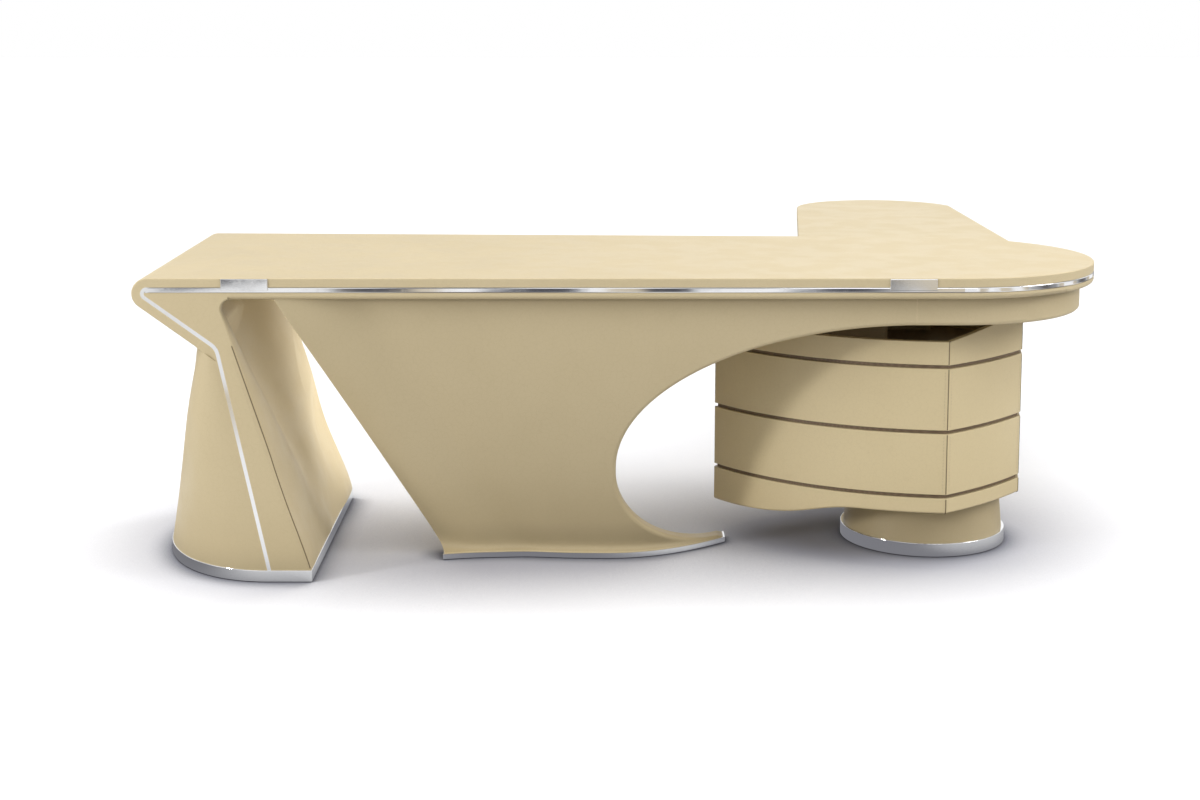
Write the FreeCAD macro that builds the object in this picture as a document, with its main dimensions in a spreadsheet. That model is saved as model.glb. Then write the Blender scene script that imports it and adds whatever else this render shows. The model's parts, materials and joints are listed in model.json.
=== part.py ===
import FreeCAD, Part
import math
import os
import types
import Sketcher

# L-shaped executive desk: a leather top that folds into its left leg, a sculpted front panel,
# a curved drawer cabinet on a round foot and a lower return that runs back from the right end.
#
# Everything is drawn in a corner frame in millimetres. X runs right from the nose at the left end,
# Y runs back from the front edge of the top, Z runs up from the floor. The Placement of each sub-part
# then carries it to the frame whose origin is on the floor under the middle of the whole desk.

Vec = FreeCAD.Vector

DIMENSIONS = [
    # the top
    ("top_length", 2410, "left nose to round right end"),
    ("top_depth", 888, "front edge to back edge, at the nose"),
    ("top_height", 755, "floor to top surface"),
    ("reach", 2281, "front edge to the far end of the return"),
    ("slab_thick", 22, "upper slab, also the folded panel"),
    ("strip_height", 14, "chrome edge strip"),
    ("lower_thick", 16, "lower slab"),
    ("end_radius", 402, "half-round right end"),
    ("slab_round", 3, "rounded edges of the upper slab"),
    ("strip_round", 3, "rounded edges of the chrome strip"),
    ("lower_round", 10, "rounded bottom edge of the lower slab"),
    ("strip_depth", 12, "chrome strip, measured inward"),
    # the fold and the leg
    ("nose_radius", 38, "outside of the nose"),
    ("fold_angle", 36, "slope of the folded panel below the horizontal"),
    ("fold_length", 170, "straight run of the folded panel"),
    ("leg_depth", 790, "front face to rear face of the leg"),
    ("plinth_height", 30, "top of the chrome plinth"),
    ("plinth_proud", 2, "plinth beyond the leather"),
    ("chrome_round", 1.5, "rounded top edge of the plinth and the rings"),
    ("glide_height", 2, "glides under every foot"),
    ("inlay_width", 9, "chrome line in the leg's faces"),
    ("inlay_depth", 10, "how deep the line is let in"),
    ("inlay_bend", 40, "middle radius of its bend"),
    ("inlay_foot", 319, "its left edge, carried down to the floor"),
    ("inlay_lean", 11.8, "its lean from the vertical"),
    ("seam_foot", 430, "inner edge of the leg's face at the floor"),
    ("seam_lean", 18, "lean of that edge from the vertical"),
    ("seam_round", 4, "rounding of that edge"),
    ("bulge_foot", 306, "outer shell beyond the line, at the plinth"),
    ("bulge_top", 44, "outer shell beyond the line, at the fold"),
    ("bulge_fullness", 0.84, "power that shapes the flare between them"),
    ("bend_height", 586, "height where the fold meets the shell"),
    ("shell_wall", 14, "outer shell"),
    ("flute_height", 150, "where the flute in the inner side starts"),
    ("flute_place", 323, "its tip, behind the front face"),
    ("flute_tip", 30, "half its width at the tip"),
    ("flute_front", 0.5, "how fast it spreads to the front as it rises"),
    ("flute_rear", 0.74, "how fast it spreads to the rear"),
    ("flute_depth", 105, "its depth at the top"),
    ("flute_power", 1.5, "power that shapes its section"),
    ("scoop_round", 25, "cove under the lower slab"),
    ("gusset_end", 232, "where the gusset hands over to the lower slab"),
    # the clasps
    ("clasp_width", 114, "along the front edge"),
    ("clasp_drop", 30, "down from the top edge"),
    ("clasp_proud", 3, "out from the front edge"),
    ("clasp_left", 216, "near end of the left clasp"),
    ("clasp_right", 1828, "near end of the right clasp"),
    ("clasp_round", 1.5, "rounded edges of the clasps"),
    # the front panel and the apron
    ("panel_inset", 34, "behind the front edge at the top"),
    ("panel_thick", 36, "at the top"),
    ("panel_foot_thick", 46, "at the floor"),
    ("panel_lean", 188, "how far the panel falls back on its way down"),
    ("lean_power", 1.5, "power that shapes that lean"),
    ("lean_end", 1450, "where it starts to stand upright again, towards the apron"),
    ("panel_flare", 22, "how far its foot comes forward again"),
    ("panel_base", 15, "top of the chrome base"),
    ("flare_height", 8, "how quickly that flare dies out upward"),
    ("panel_crest", 1150, "where the panel bellies forward most"),
    ("belly_left", 59, "how far the left end of the foot lies behind the crest"),
    ("tail_back", 146, "how far the tip of the tail lies behind the crest"),
    ("fin_wide", 204, "width of the left fin"),
    ("fin_flare_top", 28, "how far the fin comes forward at the top"),
    ("fin_flare_foot", 40, "how far the fin comes forward at the floor"),
    ("fin_power", 1.4, "power that softens the valley beside the fin"),
    ("tip_wide", 110, "width of the pointed tip at the fin's foot"),
    ("tip_flare", 30, "how far that tip comes forward"),
    ("tip_height", 20, "how quickly it dies out upward"),
    ("fin_top", 341, "left edge under the lower slab"),
    ("fin_foot", 733, "left edge at the chrome base"),
    ("curve_end", 1910, "where the long curve meets the apron"),
    ("curve_reach", 740, "long curve, left of that place"),
    ("curve_height", 255, "height where it stands upright"),
    ("tail_height", 235, "height where the curve of the tail starts"),
    ("tail_reach", 270, "tail, right of that place"),
    ("tail_tip", 1456, "tip of the tail"),
    ("tail_thick", 6, "height of that tip"),
    ("lip_round", 10, "rounded edge of the panel along the long curve"),
    ("base_margin", 4, "chrome base beyond the panel's foot"),
    ("apron_start", 1900, "where the panel hands over to the apron"),
    ("apron_drop", 70, "below the lower slab"),
    ("apron_thick", 30, "wall of the apron"),
    ("apron_round", 10, "rounded bottom edge"),
    ("apron_turn", 18.8, "angle past the far right where it stops"),
    ("batten_drop", 30, "batten behind the top of the panel"),
    ("batten_front", 60, "front of that batten, inside the panel"),
    ("batten_back", 104, "back face of that batten"),
    ("batten_start", 460, "left end of that batten"),
    ("batten_end", 1800, "right end of that batten"),
    ("rail_start", 300, "steel rail, left end"),
    ("rail_front", 330, "steel rail, front face"),
    ("rail_wide", 60, "steel rail, front to back"),
    ("rail_tall", 40, "steel rail, top to bottom"),
    ("rail_wall", 3, "steel rail, wall"),
    # the drawer cabinet
    ("cabinet_axis", 430, "middle line of the cabinet"),
    ("tip_x", 1435, "left corner"),
    ("front_x", 1993, "front corner"),
    ("front_y", 94, "front corner"),
    ("side_x", 2221, "right corners"),
    ("side_y", 311, "front one of the right corners"),
    ("face_bulge", 74, "long faces"),
    ("cheek_bulge", 12, "short faces"),
    ("wall_thick", 18, "wall panels and drawer fronts"),
    ("wall_round", 1.5, "rounded edges of the wall panels, drawer fronts and rim"),
    ("keel_round", 5, "rounded lower edge of the cabinet"),
    ("deck_thick", 9, "decks, seen as the dark grooves"),
    ("deck_inset", 8, "depth of the grooves"),
    ("keel_bottom", 97, "underside at the left corner"),
    ("base_bottom", 146, "underside over the foot"),
    ("keel_start", 1430, "where the underside starts to rise"),
    ("keel_bend", 1665, "where it rises most quickly"),
    ("keel_end", 1790, "where it is level again"),
    ("deck_one", 185, "underside of the lowest deck"),
    ("deck_two", 349, "underside of the middle deck"),
    ("deck_three", 514, "underside of the top deck"),
    ("rim_low", 582, "top of the rim on the left"),
    ("rim_high", 612, "top of the rim on the right"),
    ("rim_ramp", 150, "length of the slope between them"),
    ("block_left", 1662, "front support block, left face"),
    ("block_front", 300, "front support block, front face"),
    ("block_wide", 210, "support blocks, left to right"),
    ("block_deep", 110, "support blocks, front to back"),
    ("block_round", 8, "rounded upright edges of the blocks"),
    ("rear_block_left", 1830, "rear support block, left face"),
    ("rear_block_front", 612, "rear support block, front face"),
    ("rear_block_deep", 76, "rear support block, front to back"),
    # the drawers
    ("drawer_gap", 1.5, "clear gap round a drawer front"),
    ("drawer_left", -140, "left side, measured from the middle of the face"),
    ("drawer_right", 290, "right side, measured from the middle of the face"),
    ("drawer_back", -390, "back, measured inward from the face"),
    ("drawer_board", 12, "boards of the drawer box"),
    ("drawer_floor", 8, "bottom board"),
    ("drawer_tall", 112, "sides"),
    ("runner_wide", 24, "outer runner"),
    ("runner_tall", 12, "outer runner"),
    ("runner_wall", 2, "outer runner"),
    ("runner_gap", 0.4, "between the two runners"),
    ("runner_long", 350, "both runners"),
    ("drawer_lift", 14, "deck to drawer bottom"),
    # the feet
    ("foot_x", 1992, "round foot of the cabinet"),
    ("foot_y", 424, "round foot of the cabinet"),
    ("foot_radius", 208, "at the ring"),
    ("foot_top_radius", 198, "under the cabinet"),
    ("ring_radius", 216, "chrome ring"),
    ("ring_top", 36, "top of both chrome rings"),
    ("post_x", 2085, "far leg of the return"),
    ("post_y", 2010, "far leg of the return"),
    ("post_radius", 128, "at the ring"),
    ("post_top_radius", 96, "under the return"),
    ("post_ring_radius", 136, "chrome ring of the far leg"),
    ("glide_radius", 16, "each glide"),
    # the return
    ("return_near", 562, "near edge, under the desk"),
    ("return_right", 2358, "right edge"),
    ("return_left_near", 1671, "left edge at the near end"),
    ("return_left_far", 1820, "left edge at the far end"),
    ("return_far_left", 2037, "where the far curve starts on the left"),
    ("return_far_right", 2100, "where the far curve ends on the right"),
    ("return_peak", 2095, "the far curve's furthest point"),
]

doc = FreeCAD.newDocument("executive_desk")
sheet = doc.addObject("Spreadsheet::Sheet", "dims")
for row, (alias, number, meaning) in enumerate(DIMENSIONS, start=1):
    sheet.set(f"A{row}", meaning)
    sheet.set(f"B{row}", str(number))
    sheet.setAlias(f"B{row}", alias)
doc.recompute()
d = types.SimpleNamespace(**{alias: float(sheet.get(alias)) for alias, number, meaning in DIMENSIONS})

# Levels of the stacked top, as values for the outlines and as expressions for the pads
SLAB_Z = "(dims.top_height - dims.slab_thick)"
STRIP_Z = "(dims.top_height - dims.slab_thick - dims.strip_height)"
LOWER_Z = "(dims.top_height - dims.slab_thick - dims.strip_height - dims.lower_thick)"
slab_z = d.top_height - d.slab_thick
strip_z = slab_z - d.strip_height
lower_z = strip_z - d.lower_thick
MARGIN = 10  # how far a cutting shape reaches past the piece it cuts
sub_parts = []


# Helpers for the document

def seat(obj, x="0", y="0", z="0"):
    """Carry an object from the corner frame to the frame of the whole desk."""
    obj.setExpression("Placement.Base.x", f"{x} - dims.top_length / 2")
    obj.setExpression("Placement.Base.y", f"{y} - (dims.reach - dims.clasp_proud) / 2")
    obj.setExpression("Placement.Base.z", z)
    return obj


def keep(obj, label):
    """Name a finished sub-part and put it on the list of files."""
    obj.Label = label
    sub_parts.append(obj)
    return obj


def origin_plane(body, role):
    return [item for item in body.Origin.OriginFeatures if item.Role == role][0]


def draw(body, name, role, offset, segments):
    """A sketch on one of the body's own planes, its segments joined end to end."""
    sketch = body.newObject("Sketcher::SketchObject", name)
    sketch.AttachmentSupport = [(origin_plane(body, role), "")]
    sketch.MapMode = "FlatFace"
    sketch.setExpression("AttachmentOffset.Base.z", offset)
    sketch.addGeometry(segments)
    if len(segments) == 1:
        return sketch
    ends = [(sketch.getPoint(index, 1), sketch.getPoint(index, 2)) for index in range(len(segments))]
    for index in range(len(segments)):
        follower = (index + 1) % len(segments)
        for near in (0, 1):
            for far in (0, 1):
                if ends[index][near].distanceToPoint(ends[follower][far]) < 1e-6:
                    sketch.addConstraint(
                        Sketcher.Constraint("Coincident", index, near + 1, follower, far + 1))
    return sketch


def extrude(kind, body, sketch, length, backward):
    feature = body.newObject("PartDesign::" + kind, sketch.Name + "_" + kind.lower())
    feature.Profile = sketch
    feature.Reversed = backward
    feature.setExpression("Length", length)
    body.Tip = feature
    doc.recompute()
    return feature


def pad(body, sketch, length, backward=False):
    return extrude("Pad", body, sketch, length, backward)


def pocket(body, sketch, length, backward=False):
    return extrude("Pocket", body, sketch, length, backward)


def fillet(body, base, radius, wanted):
    """Round the edges of the last feature that a test picks out."""
    names = [f"Edge{index}" for index, edge in enumerate(base.Shape.Edges, start=1) if wanted(edge)]
    feature = body.newObject("PartDesign::Fillet", base.Name + "_round")
    feature.Base = (base, names)
    feature.setExpression("Radius", radius)
    body.Tip = feature
    doc.recompute()
    return feature


def plate(name, segments, z, thickness):
    """A board: an outline in plan, padded up from the height z."""
    body = doc.addObject("PartDesign::Body", name)
    pad(body, draw(body, name + "_plan", "XY_Plane", z, segments), thickness)
    return seat(body)


def profile(name, segments, y, depth):
    """A piece of constant front view: an outline in X and Z, padded back from y."""
    body = doc.addObject("PartDesign::Body", name)
    pad(body, draw(body, name + "_front", "XZ_Plane", f"-({y})", segments), depth, backward=True)
    return seat(body)


def group(name, members):
    compound = doc.addObject("Part::Compound", name)
    compound.Links = members
    return compound


def freeform(name, shape):
    """A piece whose curved faces are made from sections in code."""
    feature = doc.addObject("Part::Feature", name)
    feature.Shape = shape
    return seat(feature)


def box(name, x, y, z, length, width, height):
    block = doc.addObject("Part::Box", name)
    block.setExpression("Length", length)
    block.setExpression("Width", width)
    block.setExpression("Height", height)
    return seat(block, x, y, z)


def cylinder(name, x, y, z, radius, height):
    drum = doc.addObject("Part::Cylinder", name)
    drum.setExpression("Radius", radius)
    drum.setExpression("Height", height)
    return seat(drum, x, y, z)


def cone(name, x, y, z, radius, top_radius, height):
    drum = doc.addObject("Part::Cone", name)
    drum.setExpression("Radius1", radius)
    drum.setExpression("Radius2", top_radius)
    drum.setExpression("Height", height)
    return seat(drum, x, y, z)


def cut(name, base, tool):
    difference = doc.addObject("Part::Cut", name)
    difference.Base = base
    difference.Tool = tool
    return difference


# Helpers for outlines

def line(start, end):
    return Part.LineSegment(Vec(*start, 0), Vec(*end, 0))


def arc(start, middle, end):
    return Part.Arc(Vec(*start, 0), Vec(*middle, 0), Vec(*end, 0))


def chain(points):
    """Straight segments round a closed polygon."""
    return [line(start, end) for start, end in zip(points, points[1:] + points[:1])]


def polar(centre, radius, angle):
    turn = math.radians(angle)
    return (centre[0] + radius * math.cos(turn), centre[1] + radius * math.sin(turn))


def sweep_arc(centre, radius, first, last):
    return arc(polar(centre, radius, first), polar(centre, radius, (first + last) / 2),
               polar(centre, radius, last))


def wire_of(segments):
    return Part.Wire(Part.__sortEdges__([segment.toShape() for segment in segments]))


def inset(segments, distance):
    """The same outline, moved inward on every side."""
    moved = wire_of(segments).makeOffset2D(-distance)
    result = []
    for edge in Part.__sortEdges__(moved.Edges):
        first, middle, last = edge_points(edge)
        is_line = isinstance(edge.Curve, Part.Line)
        result.append(Part.LineSegment(first, last) if is_line else Part.Arc(first, middle, last))
    return result


def edge_points(edge):
    low, high = edge.ParameterRange
    return edge.valueAt(low), edge.valueAt((low + high) / 2), edge.valueAt(high)


def is_level(edge):
    return edge.BoundBox.ZLength < 0.01


def follows(segments):
    """A test for edges whose middle lies on an outline, seen from above."""
    outline = wire_of(segments)

    def lies_on(edge):
        middle = edge_points(edge)[1]
        return Part.Vertex(middle.x, middle.y, 0).distToShape(outline)[0] < 0.01

    return lies_on


# Plan of the top: straight front, half-round end, and a back edge that runs from the nose to touch the round

end_centre = (d.top_length - d.end_radius, d.end_radius)
nose_back = (d.nose_radius, d.top_depth)
to_end = (end_centre[0] - nose_back[0], nose_back[1] - end_centre[1])
slant = math.atan2(to_end[1], to_end[0]) - math.asin(d.end_radius / math.hypot(*to_end))
back_angle = 90 - math.degrees(slant)


def back_y(x, inward):
    """Depth of the back edge at x, moved inward."""
    return d.top_depth - math.tan(slant) * (x - d.nose_radius) - inward / math.cos(slant)


def end_path(inward, start):
    """Front edge, round end and back edge, all moved inward by the same distance."""
    radius = d.end_radius - inward
    return [
        line((start, inward), (end_centre[0], inward)),
        sweep_arc(end_centre, radius, -90, back_angle),
        line(polar(end_centre, radius, back_angle), (start, back_y(start, inward))),
    ]


def top_outline(inward, start):
    closing = line((start, back_y(start, inward)), (start, inward))
    return end_path(inward, start) + [closing]


# Front view of the fold: nose, slanting panel and the chrome line that follows it into the leg

fold = math.radians(d.fold_angle)
lean = math.radians(d.inlay_lean)
nose_centre = (d.nose_radius, d.top_height - d.nose_radius)
fold_normal_angle = 270 - d.fold_angle
fold_run = (math.cos(fold), -math.sin(fold))
line_run = (math.sin(lean), -math.cos(lean))


def along(point, run, distance):
    return (point[0] + run[0] * distance, point[1] + run[1] * distance)


def meeting(point, run, other_point, other_run):
    """Where two straight lines of the front view cross."""
    across = run[0] * other_run[1] - run[1] * other_run[0]
    gap = (other_point[0] - point[0], other_point[1] - point[1])
    return along(point, run, (gap[0] * other_run[1] - gap[1] * other_run[0]) / across)


def inlay_x(z):
    """Left edge of the chrome line on the leg."""
    return d.inlay_foot - math.tan(lean) * z


def seam_x(z):
    """Inner edge of the leg's front face."""
    return d.seam_foot - math.tan(math.radians(d.seam_lean)) * z


def fold_segments():
    outer, inner = d.nose_radius, d.nose_radius - d.slab_thick
    outer_tangent = polar(nose_centre, outer, fold_normal_angle)
    inner_tangent = polar(nose_centre, inner, fold_normal_angle)
    outer_end = along(outer_tangent, fold_run, d.fold_length)
    inner_end = along(inner_tangent, fold_run, d.fold_length)
    return [
        sweep_arc(nose_centre, outer, 90, fold_normal_angle),
        line(outer_tangent, outer_end),
        line(outer_end, inner_end),
        line(inner_end, inner_tangent),
        sweep_arc(nose_centre, inner, fold_normal_angle, 90),
        line((d.nose_radius, slab_z), (d.nose_radius, d.top_height)),
    ]


def inlay_edge(radius, shift, bend):
    """One edge of the chrome line: nose arc, slope, bend and the straight run to the plinth."""
    start = polar(nose_centre, radius, 90)
    tangent = polar(nose_centre, radius, fold_normal_angle)
    foot = (inlay_x(0) + shift / math.cos(lean), 0)
    bend_corner = meeting(tangent, fold_run, foot, line_run)
    turn = math.pi / 2 - lean - fold
    setback = bend * math.tan(turn / 2)
    bend_start = along(bend_corner, fold_run, -setback)
    bend_end = along(bend_corner, line_run, setback)
    bend_centre = along(bend_start, (-math.sin(fold), -math.cos(fold)), bend)
    middle = polar(bend_centre, bend, math.degrees(math.pi / 2 - fold - turn / 2))
    end = along(foot, line_run, -d.plinth_height / math.cos(lean))
    return [
        sweep_arc(nose_centre, radius, 90, fold_normal_angle),
        line(tangent, bend_start),
        arc(bend_start, middle, bend_end),
        line(bend_end, end),
    ], start, end


def inlay_segments():
    half = d.inlay_width / 2
    outer = d.nose_radius - d.slab_thick
    left, left_start, left_end = inlay_edge(outer, 0, d.inlay_bend - half)
    right, right_start, right_end = inlay_edge(outer - d.inlay_width, d.inlay_width, d.inlay_bend + half)
    return left + [line(left_end, right_end)] + right[::-1] + [line(right_start, left_start)]


# Desk top: upper slab and fold in one piece, chrome strip, core board and lower slab

desktop = doc.addObject("PartDesign::Body", "desktop")
slab_plan = draw(desktop, "desktop_plan", "XY_Plane", SLAB_Z, top_outline(0, d.nose_radius))
pad(desktop, slab_plan, "dims.slab_thick")
fold_front = draw(desktop, "desktop_fold", "XZ_Plane", "0", fold_segments())
pad(desktop, fold_front, "dims.top_depth + dims.slab_thick", backward=True)
past_back = d.top_depth + 2 * d.slab_thick
nose_trim = draw(desktop, "desktop_nose_trim", "XY_Plane", "dims.top_height", chain([
    (-MARGIN, back_y(-MARGIN, 0)),
    (d.seam_foot, back_y(d.seam_foot, 0)),
    (d.seam_foot, past_back),
    (-MARGIN, past_back),
]))
pocket(desktop, nose_trim, "dims.top_height")
fold_trim = draw(desktop, "desktop_fold_trim", "XY_Plane", SLAB_Z, chain([
    (d.nose_radius, d.top_depth),
    (d.seam_foot, d.leg_depth - d.top_depth + d.leg_depth),
    (d.seam_foot, past_back),
    (d.nose_radius, past_back),
]))
trim = pocket(desktop, fold_trim, SLAB_Z)
fillet(desktop, trim, "dims.slab_round", lambda edge: edge.BoundBox.ZMin > d.top_height - 0.01
       and edge.BoundBox.XMax > d.nose_radius + 1)
keep(seat(desktop), "desktop")

strip_start = d.nose_radius + d.slab_round
strip_path = end_path(0, strip_start) + [
    line((strip_start, back_y(strip_start, 0)), (strip_start, back_y(strip_start, d.strip_depth)))]
strip_path += end_path(d.strip_depth, strip_start)[::-1] + [
    line((strip_start, d.strip_depth), (strip_start, 0))]
edge_strip = plate("edge_strip", strip_path, STRIP_Z, "dims.strip_height")
on_rim = follows(end_path(0, strip_start))
fillet(edge_strip, edge_strip.Tip, "dims.strip_round", lambda edge: is_level(edge) and on_rim(edge))
keep(edge_strip, "edge_strip")

keep(plate("core_board", top_outline(d.strip_depth, strip_start), STRIP_Z, "dims.strip_height"),
     "core_board")

lower_slab = plate("lower_slab", top_outline(0, d.gusset_end), LOWER_Z, "dims.lower_thick")
fillet(lower_slab, lower_slab.Tip, "dims.lower_round",
       lambda edge: on_rim(edge) and edge.BoundBox.ZMax < lower_z + 1)
keep(lower_slab, "lower_slab")

for side, near in (("left", d.clasp_left), ("right", d.clasp_right)):
    far = near + d.clasp_width
    proud = -d.clasp_proud
    clasp = plate("clasp_" + side, chain([(near, 0), (far, 0), (far, proud), (near, proud)]),
                  "dims.top_height - dims.clasp_drop", "dims.clasp_drop - dims.slab_round / 2")
    fillet(clasp, clasp.Tip, "dims.clasp_round", lambda edge: edge.BoundBox.YMax < proud + 0.01)
    keep(clasp, "clasp_" + side)

# Left leg: sections of a rounded outline that grows from the fold to the plinth

half_depth = d.leg_depth / 2


def shell_section(z, wall):
    """Outer curve of the leg at one height: an ellipse at the plinth, squarer towards the fold."""
    rise = min(1.0, (z - d.plinth_height) / (d.bend_height - d.plinth_height))
    bulge = d.bulge_top + (d.bulge_foot - d.bulge_top) * (1 - rise) ** d.bulge_fullness - wall
    depth = half_depth - wall
    power = 2 / (2 + 3 * rise * rise)
    points = []
    for angle in range(-90, 91, 15):
        turn = math.radians(angle)
        out = abs(math.cos(turn)) ** power
        side = math.copysign(abs(math.sin(turn)) ** power, turn)
        points.append(Vec(inlay_x(z) - bulge * out, half_depth + depth * side, z))
    curve = Part.BSplineCurve()
    curve.interpolate(points)
    return curve.toShape(), points[0], points[-1]


def ring_wire(edges):
    return Part.Wire(Part.__sortEdges__(edges))


def straight(start, end):
    return Part.LineSegment(start, end).toShape()


def shell_wire(z):
    outer, outer_front, outer_rear = shell_section(z, 0)
    inner, inner_front, inner_rear = shell_section(z, d.shell_wall)
    return ring_wire([outer, straight(outer_rear, inner_rear), inner, straight(inner_front, outer_front)])


def core_wire(z):
    curve, front, rear = shell_section(z, d.shell_wall + 1)
    right = seam_x(z) + MARGIN
    far = d.leg_depth + MARGIN
    stops = [rear, Vec(rear.x, far, z), Vec(right, far, z), Vec(right, -MARGIN, z),
             Vec(front.x, -MARGIN, z), front]
    return ring_wire([curve] + [straight(first, second) for first, second in zip(stops, stops[1:])])


def scoop_wire(z):
    """The inner side at one height: flat, with a flute that widens and deepens as it rises."""
    above = max(0, z - d.flute_height)
    first = d.flute_place - d.flute_front * above - d.flute_tip
    last = d.flute_place + d.flute_rear * above + d.flute_tip
    middle, half = (first + last) / 2, (last - first) / 2
    depth = d.flute_depth * above / (lower_z - d.flute_height)
    points = [Vec(seam_x(z), -2 * MARGIN, z)]
    for step in range(-5, 6):
        share = step / 5
        points.append(Vec(seam_x(z) - depth * (1 - share ** 2) ** d.flute_power, middle + half * share, z))
    points.append(Vec(seam_x(z), d.leg_depth + 2 * MARGIN, z))
    curve = Part.BSplineCurve()
    curve.interpolate(points)
    room = Vec(half_depth / 2, 0, 0)
    front, rear = points[0], points[-1]
    return ring_wire([curve.toShape(), straight(rear, rear + room), straight(rear + room, front + room),
                      straight(front + room, front)])


nose_inner = d.nose_radius - d.slab_thick
outer_end = along(polar(nose_centre, d.nose_radius, fold_normal_angle), fold_run, d.fold_length)
inner_end = along(polar(nose_centre, nose_inner, fold_normal_angle), fold_run, d.fold_length)
slope_foot = meeting(outer_end, fold_run, (inlay_x(0), 0), line_run)


def levels(low, high, count, crowding=1.0):
    """Heights of the sections of a loft, closer together near the low end where crowding is over one."""
    return [low + (high - low) * (index / (count - 1)) ** crowding for index in range(count)]


def front_prism(segments, start, end):
    """An outline drawn in X and Z, carried back from one depth to another."""
    face = Part.Face(wire_of(segments))
    face.rotate(Vec(0, 0, 0), Vec(1, 0, 0), 90)
    face.translate(Vec(0, start, 0))
    return face.extrude(Vec(0, end - start, 0))


shell_heights = levels(d.plinth_height, d.bend_height + 3 * MARGIN, 7)
shell_solid = Part.makeLoft([shell_wire(z) for z in shell_heights], True, False)
above_slope = chain([
    along(outer_end, fold_run, -d.fold_length),
    along(outer_end, fold_run, d.fold_length),
    (d.seam_foot, d.top_height),
    (0, d.top_height),
])
shell_solid = shell_solid.cut(front_prism(above_slope, -MARGIN, d.leg_depth + MARGIN))
keep(freeform("leg_shell", shell_solid), "leg_shell")

keep(profile("inlay_front", inlay_segments(), "0", "dims.inlay_depth"), "inlay_front")
keep(profile("inlay_rear", inlay_segments(), "dims.leg_depth - dims.inlay_depth", "dims.inlay_depth"),
     "inlay_rear")

core_heights = levels(d.plinth_height, d.bend_height - MARGIN, 7)
core_loft = Part.makeLoft([core_wire(z) for z in core_heights], True, False)
strip_angle = math.degrees(math.asin((strip_z - nose_centre[1]) / nose_inner))
gusset_outline = [
    line(slope_foot, outer_end),
    line(outer_end, inner_end),
    line(inner_end, polar(nose_centre, nose_inner, fold_normal_angle)),
    sweep_arc(nose_centre, nose_inner, fold_normal_angle, 180 - strip_angle),
    line(polar(nose_centre, nose_inner, 180 - strip_angle), (d.gusset_end, strip_z)),
    line((d.gusset_end, strip_z), (d.gusset_end, lower_z)),
    line((d.gusset_end, lower_z), (seam_x(slope_foot[1]) + MARGIN, slope_foot[1])),
    line((seam_x(slope_foot[1]) + MARGIN, slope_foot[1]), slope_foot),
]
core_solid = core_loft.fuse(front_prism(gusset_outline, -MARGIN, d.leg_depth + MARGIN))
core_solid = core_solid.common(Part.makeBox(d.top_length, d.leg_depth, d.top_height))
scoop_heights = levels(d.plinth_height - MARGIN, lower_z, 7)
scoop = Part.makeLoft([scoop_wire(z) for z in scoop_heights], True, False)
cove = [edge for edge in scoop.Edges if edge.BoundBox.ZMin > lower_z - 0.1
        and edge.BoundBox.YLength > d.leg_depth and edge.BoundBox.XMin < d.gusset_end]
scoop = scoop.makeFillet(d.scoop_round, cove)
core_solid = core_solid.cut(scoop)
for start in (0, d.leg_depth - d.inlay_depth):
    core_solid = core_solid.cut(front_prism(inlay_segments(), start, start + d.inlay_depth))
core_solid = core_solid.removeSplitter()


def on_seam(edge):
    """True for the long leaning edge between the scoop and the leg's front face."""
    middle = edge_points(edge)[1]
    on_front = abs(middle.y) < 0.1 and abs(middle.x - seam_x(middle.z)) < d.seam_round
    return on_front and edge.Length > half_depth


core_solid = core_solid.makeFillet(d.seam_round, [edge for edge in core_solid.Edges if on_seam(edge)])
keep(freeform("leg_core", core_solid), "leg_core")


def plinth_outline(proud):
    """D-shaped plan: half an ellipse outside, straight front, inner side and rear."""
    x = inlay_x(d.plinth_height)
    right = seam_x(d.plinth_height) + proud
    front, rear = -proud, d.leg_depth + proud
    ellipse = Part.Ellipse(Vec(x, rear, 0), Vec(x - d.bulge_foot - proud, half_depth, 0),
                           Vec(x, half_depth, 0))
    return [
        Part.ArcOfEllipse(ellipse, 0, math.pi),
        line((x, front), (right, front)),
        line((right, front), (right, rear)),
        line((right, rear), (x, rear)),
    ]


plinth = plate("leg_plinth", plinth_outline(d.plinth_proud), "dims.glide_height",
               "dims.plinth_height - dims.glide_height")
fillet(plinth, plinth.Tip, "dims.chrome_round", lambda edge: edge.BoundBox.ZMin > d.plinth_height - 0.01)
keep(plinth, "leg_plinth")


def glides(name, places):
    discs = []
    for index, (x, y) in enumerate(places, start=1):
        discs.append(cylinder(f"{name}_{index}", f"{x:.3f}", f"{y:.3f}", "0",
                              "dims.glide_radius", "dims.glide_height"))
    return keep(group(name, discs), name)


glides("leg_glides", [(inlay_x(0) + across * d.bulge_foot, half_depth + along_leg * half_depth)
                      for across in (-0.5, 0.2) for along_leg in (-0.5, 0.5)])

# Front panel: plan sections that lean back, flare at the foot and come forward along the left fin

def panel_fall(z):
    """How far down the panel a height lies: nothing at its top, one at its foot."""
    return min(1.0, max(0.0, (lower_z - z) / (lower_z - d.panel_base)))


def fin_edge(fall):
    return d.fin_top + (d.fin_foot - d.fin_top) * fall


def panel_stand(x):
    """One where the panel leans back, nothing where it stands upright beside the apron."""
    part = min(1.0, max(0.0, (d.apron_start - x) / (d.apron_start - d.lean_end)))
    return part * part * (3 - 2 * part)


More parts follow.
